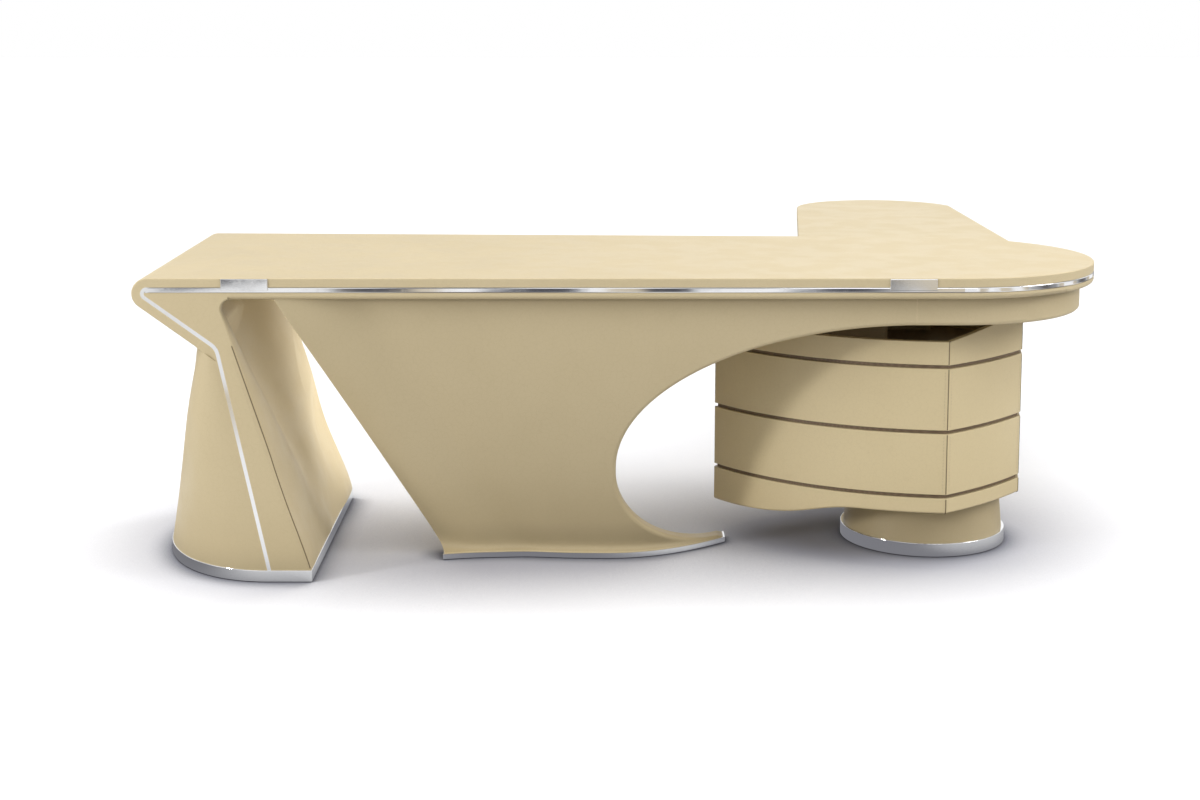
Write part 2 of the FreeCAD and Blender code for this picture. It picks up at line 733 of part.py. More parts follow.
def panel_front(x, z):
    """Depth of the panel's front face."""
    fall = panel_fall(z)
    rise = max(0.0, z - d.panel_base)
    face = d.panel_inset + d.panel_lean * panel_stand(x) * fall ** d.lean_power
    face -= d.panel_flare * math.exp(-rise / d.flare_height)
    if x > d.panel_crest:
        face += d.tail_back * fall ** 3 * ((x - d.panel_crest) / (d.tail_tip - d.panel_crest)) ** 2
    else:
        face += d.belly_left * fall * ((x - d.panel_crest) / (d.fin_foot - d.panel_crest)) ** 2
    fin_flare = d.fin_flare_top + (d.fin_flare_foot - d.fin_flare_top) * fall
    inside = min(1.0, max(0.0, (x - fin_edge(fall)) / d.fin_wide))
    face -= fin_flare * (1 - inside ** 2) ** d.fin_power
    tip = max(0.0, 1 - (x - d.fin_foot) / d.tip_wide)
    return face - d.tip_flare * min(1.4, tip) ** 2 * math.exp(-rise / d.tip_height)


def panel_back(x, z):
    growth = (d.panel_foot_thick - d.panel_thick) * panel_fall(z) ** 2
    return panel_front(x, z) + d.panel_thick + growth


def panel_places(z):
    """Places along the panel where a section is measured, closer together in the fin."""
    fall = panel_fall(z)
    left = fin_edge(fall) - 4 * MARGIN
    valley = fin_edge(fall) + d.fin_wide + 4 * MARGIN
    right = d.curve_end + 3 * MARGIN
    right -= (d.curve_end - d.tail_tip) * max(0.0, (fall - 0.15) / 0.85)
    in_fin = [left + (valley - left) * step / 8 for step in range(8)]
    return in_fin + [valley + (right - valley) * step / 8 for step in range(9)]


def spline(points):
    curve = Part.BSplineCurve()
    curve.interpolate(points)
    return curve.toShape()


def panel_wire(z):
    front = [Vec(x, panel_front(x, z), z) for x in panel_places(z)]
    back = [Vec(x, panel_back(x, z), z) for x in panel_places(z)]
    return ring_wire([spline(front), straight(front[-1], back[-1]),
                      spline(back), straight(back[0], front[0])])


def quarter(centre, reach, rise, first, last):
    """A quarter of an ellipse in the front view, between two angles."""
    start, end = [(centre[0] + reach * math.cos(math.radians(angle)),
                   centre[1] + rise * math.sin(math.radians(angle))) for angle in (first, last)]
    axes = [(centre[0] + reach, centre[1]), (centre[0], centre[1] + rise)]
    major, minor = axes if reach > rise else axes[::-1]
    ellipse = Part.Ellipse(Vec(*major, 0), Vec(*minor, 0), Vec(*centre, 0))
    ends = sorted(ellipse.parameter(Vec(*point, 0)) for point in (start, end))
    return Part.ArcOfEllipse(ellipse, ends[0], ends[1]), start, end


apron_bottom = lower_z - d.apron_drop
waist = d.curve_end - d.curve_reach
upper_curve, curve_top, curve_waist = quarter(
    (d.curve_end, d.curve_height), d.curve_reach, apron_bottom - d.curve_height, 90, 180)
tail_level = d.panel_base + d.tail_thick
lower_curve, tail_waist, tail_top = quarter(
    (waist + d.tail_reach, d.tail_height), d.tail_reach, d.tail_height - tail_level, 180, 270)
panel_outline = [
    line((d.fin_top, lower_z), (d.fin_foot, d.panel_base)),
    line((d.fin_foot, d.panel_base), (d.tail_tip, d.panel_base)),
    line((d.tail_tip, d.panel_base), tail_top),
    lower_curve,
    line(tail_waist, curve_waist),
    upper_curve,
    line(curve_top, (d.curve_end, lower_z)),
    line((d.curve_end, lower_z), (d.fin_top, lower_z)),
]
panel_heights = levels(d.panel_base - MARGIN / 2, lower_z + MARGIN, 15, crowding=2.2)
panel_loft = Part.makeLoft([panel_wire(z) for z in panel_heights], True, False)
panel_solid = panel_loft.common(front_prism(panel_outline, -d.top_depth, d.top_depth))
apron_corner = Vec(d.apron_start, 0, apron_bottom - MARGIN)
apron_room = Part.makeBox(d.top_length, d.top_depth, d.top_height, apron_corner)
panel_solid = panel_solid.cut(apron_room)


long_curve = wire_of([lower_curve, line(tail_waist, curve_waist), upper_curve])


def on_lip(edge):
    """True for the edges of the panel's front face along the long curve."""
    middle = edge_points(edge)[1]
    off_curve = Part.Vertex(middle.x, middle.z, 0).distToShape(long_curve)[0]
    return off_curve < 0.1 and abs(middle.y - panel_front(middle.x, middle.z)) < MARGIN


panel_solid = panel_solid.makeFillet(d.lip_round, [edge for edge in panel_solid.Edges if on_lip(edge)])
front_panel = keep(freeform("front_panel", panel_solid), "front_panel")


def base_outline(margin):
    """Plan of the chrome base: the panel's foot, a little wider all round."""
    left = d.fin_foot - margin
    long = d.tail_tip + margin - left
    places = [left + long * (step / 10) ** 1.3 for step in range(11)]
    front = [Vec(x, panel_front(x, d.panel_base) - margin, 0) for x in places]
    back = [Vec(x, panel_back(x, d.panel_base) + margin, 0) for x in places]
    curves = []
    for points in (front, back):
        curve = Part.BSplineCurve()
        curve.interpolate(points)
        curves.append(curve)
    return [curves[0], Part.LineSegment(front[-1], back[-1]), curves[1], Part.LineSegment(back[0], front[0])]


keep(plate("panel_base", base_outline(d.base_margin), "dims.glide_height",
           "dims.panel_base - dims.glide_height"), "panel_base")
foot_places = [d.fin_foot + part * (d.tail_tip - d.fin_foot) for part in (0.12, 0.5, 0.88)]
glides("panel_glides", [(x, (panel_front(x, d.panel_base) + panel_back(x, d.panel_base)) / 2)
                        for x in foot_places])


# End apron: the band that carries on from the panel round the right end

def apron_side(inward):
    return [
        line((d.apron_start, inward), (end_centre[0], inward)),
        sweep_arc(end_centre, d.end_radius - inward, -90, d.apron_turn),
    ]


apron_outer = d.panel_inset
apron_inner = d.panel_inset + d.apron_thick
apron_path = apron_side(apron_outer) + [
    line(polar(end_centre, d.end_radius - apron_outer, d.apron_turn),
         polar(end_centre, d.end_radius - apron_inner, d.apron_turn))]
apron_path += apron_side(apron_inner)[::-1] + [
    line((d.apron_start, apron_inner), (d.apron_start, apron_outer))]
end_apron = plate("end_apron", apron_path, f"{LOWER_Z} - dims.apron_drop", "dims.apron_drop")
on_apron = follows(apron_side(apron_outer))
fillet(end_apron, end_apron.Tip, "dims.apron_round",
       lambda edge: on_apron(edge) and edge.BoundBox.ZMax < apron_bottom + 0.01)
keep(end_apron, "end_apron")

# Behind the panel: a batten that follows its back, and the steel rail from the leg to the cabinet

batten = box("batten_blank", "dims.batten_start", "dims.batten_front", f"{LOWER_Z} - dims.batten_drop",
             "dims.batten_end - dims.batten_start", "dims.batten_back - dims.batten_front",
             "dims.batten_drop")
doc.recompute()
keep(cut("panel_batten", batten, front_panel), "panel_batten")

rail_outer = box("rail_outer", "dims.rail_start", "dims.rail_front", f"{LOWER_Z} - dims.rail_tall",
                 "dims.block_left - dims.rail_start", "dims.rail_wide", "dims.rail_tall")
rail_inner = box("rail_inner", "dims.rail_start", "dims.rail_front + dims.rail_wall",
                 f"{LOWER_Z} - dims.rail_tall + dims.rail_wall", "dims.block_left - dims.rail_start",
                 "dims.rail_wide - 2 * dims.rail_wall", "dims.rail_tall - 2 * dims.rail_wall")
keep(cut("steel_rail", rail_outer, rail_inner), "steel_rail")

# Drawer cabinet: a leaf-shaped plan with five bulging faces, alike front and back

corners = [
    (d.tip_x, d.cabinet_axis),
    (d.front_x, d.front_y),
    (d.side_x, d.side_y),
    (d.side_x, 2 * d.cabinet_axis - d.side_y),
    (d.front_x, 2 * d.cabinet_axis - d.front_y),
]
bulges = [d.face_bulge, d.cheek_bulge, d.cheek_bulge, d.cheek_bulge, d.face_bulge]


def face_middle(index, inward):
    """Middle of one face, moved inward from its bulge."""
    start, end = corners[index], corners[(index + 1) % 5]
    run = (end[0] - start[0], end[1] - start[1])
    length = math.hypot(*run)
    out = (bulges[index] - inward) / length
    return ((start[0] + end[0]) / 2 + run[1] * out, (start[1] + end[1]) / 2 - run[0] * out)


leaf = [arc(corners[index], face_middle(index, 0), corners[(index + 1) % 5]) for index in range(5)]
inner_points = [vertex.Point for vertex in wire_of(leaf).makeOffset2D(-d.wall_thick).Vertexes]


def inner_corner(index):
    nearest = min(inner_points, key=lambda point: point.distanceToPoint(Vec(*corners[index], 0)))
    return (nearest.x, nearest.y)


def wall_panel(name, index, z, height):
    """A wall panel with the edges of its outer face rounded."""
    panel = plate(name, wall_segments(index), z, height)
    fillet(panel, panel.Tip, "dims.wall_round", follows([leaf[index]]))
    return panel


def wall_segments(index):
    """Plan of the wall panel on one face, mitred at both corners."""
    after = (index + 1) % 5
    return [
        arc(corners[index], face_middle(index, 0), corners[after]),
        line(corners[after], inner_corner(after)),
        arc(inner_corner(after), face_middle(index, d.wall_thick), inner_corner(index)),
        line(inner_corner(index), corners[index]),
    ]


DECKS = {"bottom": "dims.deck_one", "middle": "dims.deck_two", "top": "dims.deck_three"}
deck_plan = inset(leaf, d.deck_inset)
for name, height in DECKS.items():
    keep(plate("deck_" + name, deck_plan, height, "dims.deck_thick"), "deck_" + name)

base = doc.addObject("PartDesign::Body", "cabinet_base")
pad(base, draw(base, "base_plan", "XY_Plane", "dims.keel_bottom", leaf), "dims.deck_one - dims.keel_bottom")
keel_curve = Part.BezierCurve()
keel_curve.setPoles([Vec(d.keel_start, d.keel_bottom, 0), Vec(d.keel_bend, d.keel_bottom, 0),
                     Vec(d.keel_bend, d.base_bottom, 0), Vec(d.keel_end, d.base_bottom, 0)])
under_base = draw(base, "base_underside", "XZ_Plane", "0", [
    keel_curve.toBSpline(),
    line((d.keel_end, d.base_bottom), (d.top_length, d.base_bottom)),
    line((d.top_length, d.base_bottom), (d.top_length, 0)),
    line((d.top_length, 0), (d.keel_start, 0)),
    line((d.keel_start, 0), (d.keel_start, d.keel_bottom)),
])
keel = pocket(base, under_base, "dims.top_depth")
on_leaf = follows(leaf)
fillet(base, keel, "dims.keel_round",
       lambda edge: on_leaf(edge) and edge_points(edge)[1].z < d.base_bottom + 0.01)
keep(seat(base), "cabinet_base")

BANDS = {"lower": ("dims.deck_one", "dims.deck_two"), "upper": ("dims.deck_two", "dims.deck_three")}
for name, (below, above) in BANDS.items():
    panels = [wall_panel(f"wall_{name}_{index}", index, f"{below} + dims.deck_thick",
                         f"{above} - {below} - dims.deck_thick") for index in range(4)]
    keep(group("walls_" + name, panels), "walls_" + name)

rim_dip = chain([
    (d.tip_x - MARGIN, d.rim_low),
    (d.front_x, d.rim_low),
    (d.front_x + d.rim_ramp, d.rim_high),
    (d.front_x + d.rim_ramp, d.rim_high + MARGIN),
    (d.tip_x - MARGIN, d.rim_high + MARGIN),
])
rim_panels = []
for index in range(5):
    panel = plate(f"rim_{index}", wall_segments(index), "dims.deck_three + dims.deck_thick",
                  "dims.rim_high - dims.deck_three - dims.deck_thick")
    if index != 2:
        pocket(panel, draw(panel, f"rim_{index}_dip", "XZ_Plane", "0", rim_dip), "dims.top_depth")
    fillet(panel, panel.Tip, "dims.wall_round", follows([leaf[index]]))
    rim_panels.append(panel)
keep(group("cabinet_rim", rim_panels), "cabinet_rim")

DECK_TOP = "(dims.deck_three + dims.deck_thick)"
RETURN_BOTTOM = f"({LOWER_Z} - dims.slab_thick - dims.strip_height - dims.lower_thick)"
BLOCKS = {
    "front_block": (d.block_left, d.block_front, d.block_deep, LOWER_Z),
    "rear_block": (d.rear_block_left, d.rear_block_front, d.rear_block_deep, RETURN_BOTTOM),
}
for name, (left, front, deep, top) in BLOCKS.items():
    right = left + d.block_wide
    back = front + deep
    block = plate(name, chain([(left, front), (right, front), (right, back), (left, back)]),
                  DECK_TOP, f"{top} - {DECK_TOP}")
    fillet(block, block.Tip, "dims.block_round", lambda edge: not is_level(edge))
    keep(block, name)

# Drawers: their own frame has its origin in the middle of the long rear face and runs along that face

face_start, face_end = corners[0], corners[4]
face_length = math.hypot(face_end[0] - face_start[0], face_end[1] - face_start[1])
face_run = ((face_end[0] - face_start[0]) / face_length, (face_end[1] - face_start[1]) / face_length)
face_out = (-face_run[1], face_run[0])
face_centre = ((face_start[0] + face_end[0]) / 2, (face_start[1] + face_end[1]) / 2)
face_radius = ((face_length / 2) ** 2 + d.face_bulge ** 2) / (2 * d.face_bulge)
board_radius = face_radius - d.wall_thick + d.drawer_gap


def on_face(side, out):
    """A place in the drawers' frame, carried to the corner frame."""
    return (face_centre[0] + face_run[0] * side + face_out[0] * out,
            face_centre[1] + face_run[1] * side + face_out[1] * out)


def behind_front(side):
    """A place on the hollow back of the drawer front."""
    return on_face(side, math.sqrt(board_radius ** 2 - side ** 2) - face_radius + d.face_bulge)


def board(left, right, back):
    """Plan of a board that runs from the back of the drawer to the curved front."""
    return [
        line(on_face(left, back), on_face(right, back)),
        line(on_face(right, back), behind_front(right)),
        arc(behind_front(right), behind_front((left + right) / 2), behind_front(left)),
        line(behind_front(left), on_face(left, back)),
    ]


def front_segments():
    """Plan of a drawer front: the wall panel of its face, a clear gap smaller all round."""
    centre = on_face(0, d.face_bulge - face_radius)
    clear = math.degrees(1.3 * d.drawer_gap / face_radius)

    def angle(point, step):
        return math.degrees(math.atan2(point[1] - centre[1], point[0] - centre[0])) + step

    outside = face_radius - d.drawer_gap
    ends = [(polar(centre, outside, angle(corners[index], step)),
             polar(centre, board_radius, angle(inner_corner(index), step)))
            for index, step in ((0, -clear), (4, clear))]
    outer_middle = on_face(0, d.face_bulge - d.drawer_gap)
    inner_middle = on_face(0, d.face_bulge - d.wall_thick + d.drawer_gap)
    return [
        arc(ends[0][0], outer_middle, ends[1][0]),
        line(ends[1][0], ends[1][1]),
        arc(ends[1][1], inner_middle, ends[0][1]),
        line(ends[0][1], ends[0][0]),
    ]


def strip_plan(centre, width, back, front):
    half = width / 2
    return chain([on_face(centre - half, back), on_face(centre + half, back),
                  on_face(centre + half, front), on_face(centre - half, front)])


runner_back = d.drawer_back + d.drawer_board
runner_front = runner_back + d.runner_long
runner_places = (d.drawer_left + 2 * d.runner_wide, d.drawer_right - 2 * d.runner_wide)
groove_width = d.runner_wide - 2 * d.runner_wall
for name, (below, above) in BANDS.items():
    deck = f"({below} + dims.deck_thick)"
    floor_z = f"{deck} + dims.drawer_lift"
    front = plate(f"drawer_{name}_front", front_segments(), f"{deck} + dims.drawer_gap",
                  f"{above} - {below} - dims.deck_thick - 2 * dims.drawer_gap")
    fillet(front, front.Tip, "dims.wall_round", follows(front_segments()[:1]))
    keep(front, f"drawer_{name}_front")
    left_side = board(d.drawer_left, d.drawer_left + d.drawer_board, d.drawer_back)
    right_side = board(d.drawer_right - d.drawer_board, d.drawer_right, d.drawer_back)
    sides = [plate(f"drawer_{name}_side_{index}", plan, floor_z, "dims.drawer_tall")
             for index, plan in enumerate((left_side, right_side), start=1)]
    keep(group(f"drawer_{name}_sides", sides), f"drawer_{name}_sides")
    inside_left = d.drawer_left + d.drawer_board
    inside_right = d.drawer_right - d.drawer_board
    middle = (inside_left + inside_right) / 2
    back_plan = strip_plan(middle, inside_right - inside_left, d.drawer_back, d.drawer_back + d.drawer_board)
    keep(plate(f"drawer_{name}_back", back_plan, floor_z, "dims.drawer_tall"), f"drawer_{name}_back")
    floor_plan = board(inside_left, inside_right, d.drawer_back + d.drawer_board)
    keep(plate(f"drawer_{name}_floor", floor_plan, floor_z, "dims.drawer_floor"), f"drawer_{name}_floor")
    channels, slides = [], []
    for index, place in enumerate(runner_places, start=1):
        outer_plan = strip_plan(place, d.runner_wide, runner_back, runner_front)
        hollow_plan = strip_plan(place, groove_width, runner_back - MARGIN, runner_front + MARGIN)
        slide_plan = strip_plan(place, groove_width - 2 * d.runner_gap, runner_back, runner_front)
        outer = plate(f"runner_{name}_blank_{index}", outer_plan, deck, "dims.runner_tall")
        hollow = plate(f"runner_{name}_hollow_{index}", hollow_plan, f"{deck} + dims.runner_wall",
                       "dims.runner_tall")
        channels.append(cut(f"runner_{name}_channel_{index}", outer, hollow))
        slides.append(plate(f"slide_{name}_{index}", slide_plan,
                            f"{deck} + dims.runner_wall + dims.runner_gap",
                            "dims.drawer_lift - dims.runner_wall - dims.runner_gap"))
    keep(group(f"runners_{name}", channels), f"runners_{name}")
    keep(group(f"slides_{name}", slides), f"slides_{name}")

# Round foot of the cabinet and far leg of the return

keep(cone("foot_drum", "dims.foot_x", "dims.foot_y", "dims.ring_top", "dims.foot_radius",
          "dims.foot_top_radius", "dims.base_bottom - dims.ring_top"), "foot_drum")


def ring(name, x, y, radius):
    """A chrome ring under a round foot, its top edge rounded."""
    body = doc.addObject("PartDesign::Body", name)
    circle = draw(body, name + "_plan", "XY_Plane", "dims.glide_height",
                  [Part.Circle(Vec(0, 0, 0), Vec(0, 0, 1), radius)])
    disc = pad(body, circle, "dims.ring_top - dims.glide_height")
    fillet(body, disc, "dims.chrome_round", lambda edge: edge.BoundBox.ZMin > d.ring_top - 0.01)
    return keep(seat(body, x, y), name)


ring("foot_ring", "dims.foot_x", "dims.foot_y", d.ring_radius)
glides("foot_glides", [polar((d.foot_x, d.foot_y), 0.7 * d.ring_radius, angle)
                       for angle in (45, 135, 225, 315)])
keep(cone("return_leg", "dims.post_x", "dims.post_y", "dims.ring_top", "dims.post_radius",
          "dims.post_top_radius", f"{RETURN_BOTTOM} - dims.ring_top"), "return_leg")
ring("return_ring", "dims.post_x", "dims.post_y", d.post_ring_radius)
glides("return_glides", [polar((d.post_x, d.post_y), 0.7 * d.post_ring_radius, angle)
                         for angle in (30, 150, 270)])

# Return: slab, chrome strip, core board and lower slab, let in under the desk's own lower slab

return_plan = [
    line((d.return_left_near, d.return_near), (d.return_right, d.return_near)),
    line((d.return_right, d.return_near), (d.return_right, d.return_far_right)),
    arc((d.return_right, d.return_far_right), (d.return_peak, d.reach),
        (d.return_left_far, d.return_far_left)),
    line((d.return_left_far, d.return_far_left), (d.return_left_near, d.return_near)),
]
return_core_plan = inset(return_plan, d.strip_depth)
RETURN_SLAB = f"({LOWER_Z} - dims.slab_thick)"
RETURN_STRIP = f"({LOWER_Z} - dims.slab_thick - dims.strip_height)"
on_return = follows(return_plan)
return_slab = plate("return_slab", return_plan, RETURN_SLAB, "dims.slab_thick")
fillet(return_slab, return_slab.Tip, "dims.slab_round", lambda edge: edge.BoundBox.ZMin > lower_z - 0.01)
keep(return_slab, "return_slab")
keep(plate("return_core", return_core_plan, RETURN_STRIP, "dims.strip_height"), "return_core")
return_strip = plate("return_strip", return_plan, RETURN_STRIP, "dims.strip_height")
strip_hollow = draw(return_strip, "return_strip_hollow", "XY_Plane", RETURN_SLAB, return_core_plan)
hollowed = pocket(return_strip, strip_hollow, "dims.strip_height")
fillet(return_strip, hollowed, "dims.strip_round", lambda edge: is_level(edge) and on_return(edge))
keep(return_strip, "return_strip")
return_lower = plate("return_lower", return_plan, RETURN_BOTTOM, "dims.lower_thick")
return_bottom = lower_z - d.slab_thick - d.strip_height - d.lower_thick
fillet(return_lower, return_lower.Tip, "dims.lower_round",
       lambda edge: edge.BoundBox.ZMax < return_bottom + 0.01)
keep(return_lower, "return_lower")

# Checks before anything is written, then one file for each sub-part

doc.recompute()
for obj in doc.Objects:
    if "Invalid" in obj.State or "Error" in obj.State:
        raise RuntimeError(f"{obj.Label}: {obj.State}")
for obj in sub_parts:
    if obj.Shape.isNull() or not obj.Shape.isValid():
        raise RuntimeError(f"{obj.Label}: its shape is null or not valid")

os.makedirs("parts", exist_ok=True)
for obj in sub_parts:
    obj.Shape.exportStep(f"parts/{obj.Label}.step")
    size = obj.Shape.BoundBox
    print(f"{obj.Label}: {len(obj.Shape.Solids)} solid, {obj.Shape.Volume / 1e6:.3f} litres, "
          f"X {size.XMin:.1f} to {size.XMax:.1f}, Y {size.YMin:.1f} to {size.YMax:.1f}, "
          f"Z {size.ZMin:.1f} to {size.ZMax:.1f}")
print(len(sub_parts), "sub-parts")
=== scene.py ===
# %% [markdown]
# L-shaped executive desk
#
# A leather desk with four strong forms: a top that folds over at its left end and turns into a leg, a
# sculpted front panel cut by one long curve, a leaf-shaped drawer cabinet on a round foot, and a lower
# return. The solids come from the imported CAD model. This script gives them their finishes, adds what is too
# fine for the solids, and sets up the floor, the light and the camera.
# Everything is in metres: X runs along the desk, Y from the visitor's side to the seat side, Z up.

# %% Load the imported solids
import json
import math
import bmesh
import bpy
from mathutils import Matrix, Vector


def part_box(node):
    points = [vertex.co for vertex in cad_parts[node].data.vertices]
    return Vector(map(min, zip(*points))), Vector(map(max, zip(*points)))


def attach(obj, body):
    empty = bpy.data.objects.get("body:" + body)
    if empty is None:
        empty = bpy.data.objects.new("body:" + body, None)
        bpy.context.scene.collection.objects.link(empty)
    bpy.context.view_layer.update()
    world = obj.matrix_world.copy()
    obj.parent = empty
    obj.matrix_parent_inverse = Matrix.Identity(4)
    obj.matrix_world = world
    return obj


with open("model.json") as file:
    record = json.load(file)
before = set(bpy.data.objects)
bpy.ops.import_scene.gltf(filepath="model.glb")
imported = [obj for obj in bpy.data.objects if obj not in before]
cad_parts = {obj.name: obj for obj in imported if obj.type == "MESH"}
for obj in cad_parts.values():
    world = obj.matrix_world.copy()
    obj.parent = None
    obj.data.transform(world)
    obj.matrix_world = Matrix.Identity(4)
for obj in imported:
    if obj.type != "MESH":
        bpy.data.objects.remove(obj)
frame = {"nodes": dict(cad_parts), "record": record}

scene = bpy.context.scene
nodes = frame["nodes"]
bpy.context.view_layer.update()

# %% [markdown]
# The camera
#
# The picture of the desk was taken from the visitor's side, about 1.4 metres up, with the upright edges of
# the cabinet almost parallel. A tilted camera alone would make them lean together, and a lens shift alone
# would push the desk out of every other view, so a little of each is used.

# %% Camera
IMAGE_WIDTH = 1200
LENS_PIXELS = 1892.7
CAMERA_PLACE = (-0.0906, -5.6415, 1.4212)
CAMERA_TILT = math.radians(7.74)
CAMERA_SHIFT = (0.0052, -0.12)


def add_object(name, data):
    """A new object at the origin, linked into the scene."""
    made = bpy.data.objects.new(name, data)
    scene.collection.objects.link(made)
    return made


camera_data = bpy.data.cameras.new("visitor_camera")
camera_data.lens = LENS_PIXELS / IMAGE_WIDTH * camera_data.sensor_width
camera_data.shift_x, camera_data.shift_y = CAMERA_SHIFT
camera = add_object("visitor_camera", camera_data)
camera.location = CAMERA_PLACE
camera.rotation_euler = (math.pi / 2 - CAMERA_TILT, 0, 0)
scene.camera = camera
scene.view_settings.view_transform = "Standard"
print(f"camera lens {camera_data.lens:.1f} mm")

# %% [markdown]
# Small helpers for node trees
#
# Finishes are built from shader nodes, and each node could be made, filled in and wired in three or four
# lines. A few helpers keep that readable: one adds a node and fills its inputs in a single line, one starts
# a node group with named inputs and outputs, and the rest are short names for the nodes used most.

# %% Node helpers
WHOLE = (0.0, 1.0)
ORIGIN = (0.0, 0.0, 0.0)


def put(tree, kind, inputs=None, **settings):
    """Add a node; an input is either a number or the socket that feeds it."""
    made = tree.nodes.new(kind)
    for name, value in settings.items():
        setattr(made, name, value)
    for name, value in (inputs or {}).items():
        if isinstance(value, bpy.types.NodeSocket):
            tree.links.new(value, made.inputs[name])
        else:
            made.inputs[name].default_value = value
    return made


def start_group(name, inputs, outputs):
    """A shader group with named inputs and outputs, and the sockets to wire it with."""
    tree = bpy.data.node_groups.new(name, "ShaderNodeTree")
    for label, value in inputs.items():
        kind = "NodeSocketFloat" if isinstance(value, float) else "NodeSocketVector"
        socket = tree.interface.new_socket(name=label, in_out="INPUT", socket_type=kind)
        socket.default_value = value
    for label in outputs:
        tree.interface.new_socket(name=label, in_out="OUTPUT", socket_type="NodeSocketFloat")
    return tree, tree.nodes.new("NodeGroupInput").outputs, tree.nodes.new("NodeGroupOutput").inputs


def math_node(tree, operation, *values):
    """Arithmetic on one or two values."""
    return put(tree, "ShaderNodeMath", dict(enumerate(values)), operation=operation).outputs[0]


def per_metre(tree, size):
    """How many things of a size go into a metre."""
    return math_node(tree, "DIVIDE", 1.0, size)


def remap(tree, value, old, new):
    """Carry a value smoothly from one range to another, each given by its two ends."""
    inputs = {0: value, 1: old[0], 2: old[1], 3: new[0], 4: new[1]}
    return put(tree, "ShaderNodeMapRange", inputs, interpolation_type="SMOOTHSTEP").outputs[0]


def noise(tree, place, scale, detail, **others):
    """Cloudy noise, as a value in its first output and as a colour in its second."""
    inputs = {"Vector": place, "Scale": scale, "Detail": detail, **others}
    return put(tree, "ShaderNodeTexNoise", inputs).outputs


def blend_colours(tree, factor, first, second):
    """The first colour where the factor is nought, the second where it is one."""
    return put(tree, "ShaderNodeMix", {0: factor, 6: first, 7: second}, data_type="RGBA").outputs[2]


def add_bump(tree, shader, height, strength, distance):
    """Let a height tilt the surface that the light sees."""
    made = put(tree, "ShaderNodeBump", {"Strength": strength, "Distance": distance, "Height": height})
    tree.links.new(made.outputs[0], shader.inputs["Normal"])


print("helpers ready")

# %% [markdown]
# Leather grain
#
# The covering is a fine-grained, evenly dyed leather. Under a lens it is a pattern of tiny pebbles with
# creases between them, a few broader wrinkles, and a cloudy change of tone that comes from the dye. One
# group makes all three, so that every leather finish shares the same hide. A voronoi pattern gives the
# pebbles, because its cells meet in narrow creases as the real ones do. Plain noise would look like sand.

# %% Leather grain group
WRINKLES_PER_PEBBLE = 0.11
WOBBLE = (0.002, 0.002, 0.002)
CREASE_EDGE = 0.22
WRINKLE_EDGE = 0.09
WRINKLE_RISE = 0.35
CLOUDS_PER_METRE = 3.1
GLOSS_PATCHES_PER_METRE = 11.0
NOISE_MIDDLE = (0.3, 0.7)


def creases(tree, place, density, randomness):
    """How far each place is from the nearest border between two cells."""
    inputs = {"Vector": place, "Scale": density, "Randomness": randomness}
    return put(tree, "ShaderNodeTexVoronoi", inputs, feature="DISTANCE_TO_EDGE").outputs[0]


def make_leather_grain():
    inputs = {"Place": ORIGIN, "Pebble": 0.0016}
    tree, given, result = start_group("leather_grain", inputs, ["Height", "Cloud", "Gloss"])
    fine = per_metre(tree, given["Pebble"])
    broad = math_node(tree, "MULTIPLY", fine, WRINKLES_PER_PEBBLE)
    wander = noise(tree, given["Place"], broad, detail=2.0)["Color"]
    shift = put(tree, "ShaderNodeVectorMath", {0: wander, 1: WOBBLE}, operation="MULTIPLY").outputs[0]
    place = put(tree, "ShaderNodeVectorMath", {0: given["Place"], 1: shift}, operation="ADD").outputs[0]
    pebbles = remap(tree, creases(tree, place, fine, randomness=0.9), (0.0, CREASE_EDGE), WHOLE)
    wrinkles = creases(tree, place, broad, randomness=1.0)
    wrinkles = remap(tree, wrinkles, (0.0, WRINKLE_EDGE), (0.0, WRINKLE_RISE))
    tree.links.new(math_node(tree, "ADD", pebbles, wrinkles), result["Height"])
    cloud = noise(tree, given["Place"], CLOUDS_PER_METRE, detail=5.0, Roughness=0.62)[0]
    tree.links.new(remap(tree, cloud, NOISE_MIDDLE, WHOLE), result["Cloud"])
    gloss = noise(tree, given["Place"], GLOSS_PATCHES_PER_METRE, detail=4.0)[0]
    tree.links.new(remap(tree, gloss, NOISE_MIDDLE, WHOLE), result["Gloss"])
    return tree


leather_grain = make_leather_grain()
print("group", leather_grain.name)

# %% [markdown]
# Rubbed edges and painted shade
#
# Leather gets two marks here. Edges are made paler and smoother, as if rubbed: the smoothness is wear,
# and the paler colour is partly wear and partly a painted highlight. Where surfaces meet, the colour is
# darkened as painted shade, in a wide layer and a narrower one in the corners. Both could be painted by hand,
# but then they would have to be painted again after every change of shape. Here one group works them out from
# the shape. The first is found by comparing the surface with a rounded copy of itself, the second by looking
# how much open air there is in front of each place.

# %% Leather wear and painted shade group
RUB_AND_HIGHLIGHT_WIDTH = 0.004
RUB_AND_HIGHLIGHT_TURN = (0.90, 0.99)
PAINTED_SHADE_REACH = 0.28
PAINTED_CORNER_REACH = 0.10
PAINTED_SHADE_AIR = (0.45, 1.0)
PAINTED_SHADE_STRENGTH = 0.62


def painted_shade_mask(tree, reach):
    """Painted shade: most where another surface stands within reach in front, nought in the open."""
    open_air = put(tree, "ShaderNodeAmbientOcclusion", {"Distance": reach}, samples=5).outputs["AO"]
    return remap(tree, open_air, PAINTED_SHADE_AIR, (PAINTED_SHADE_STRENGTH, 0.0))


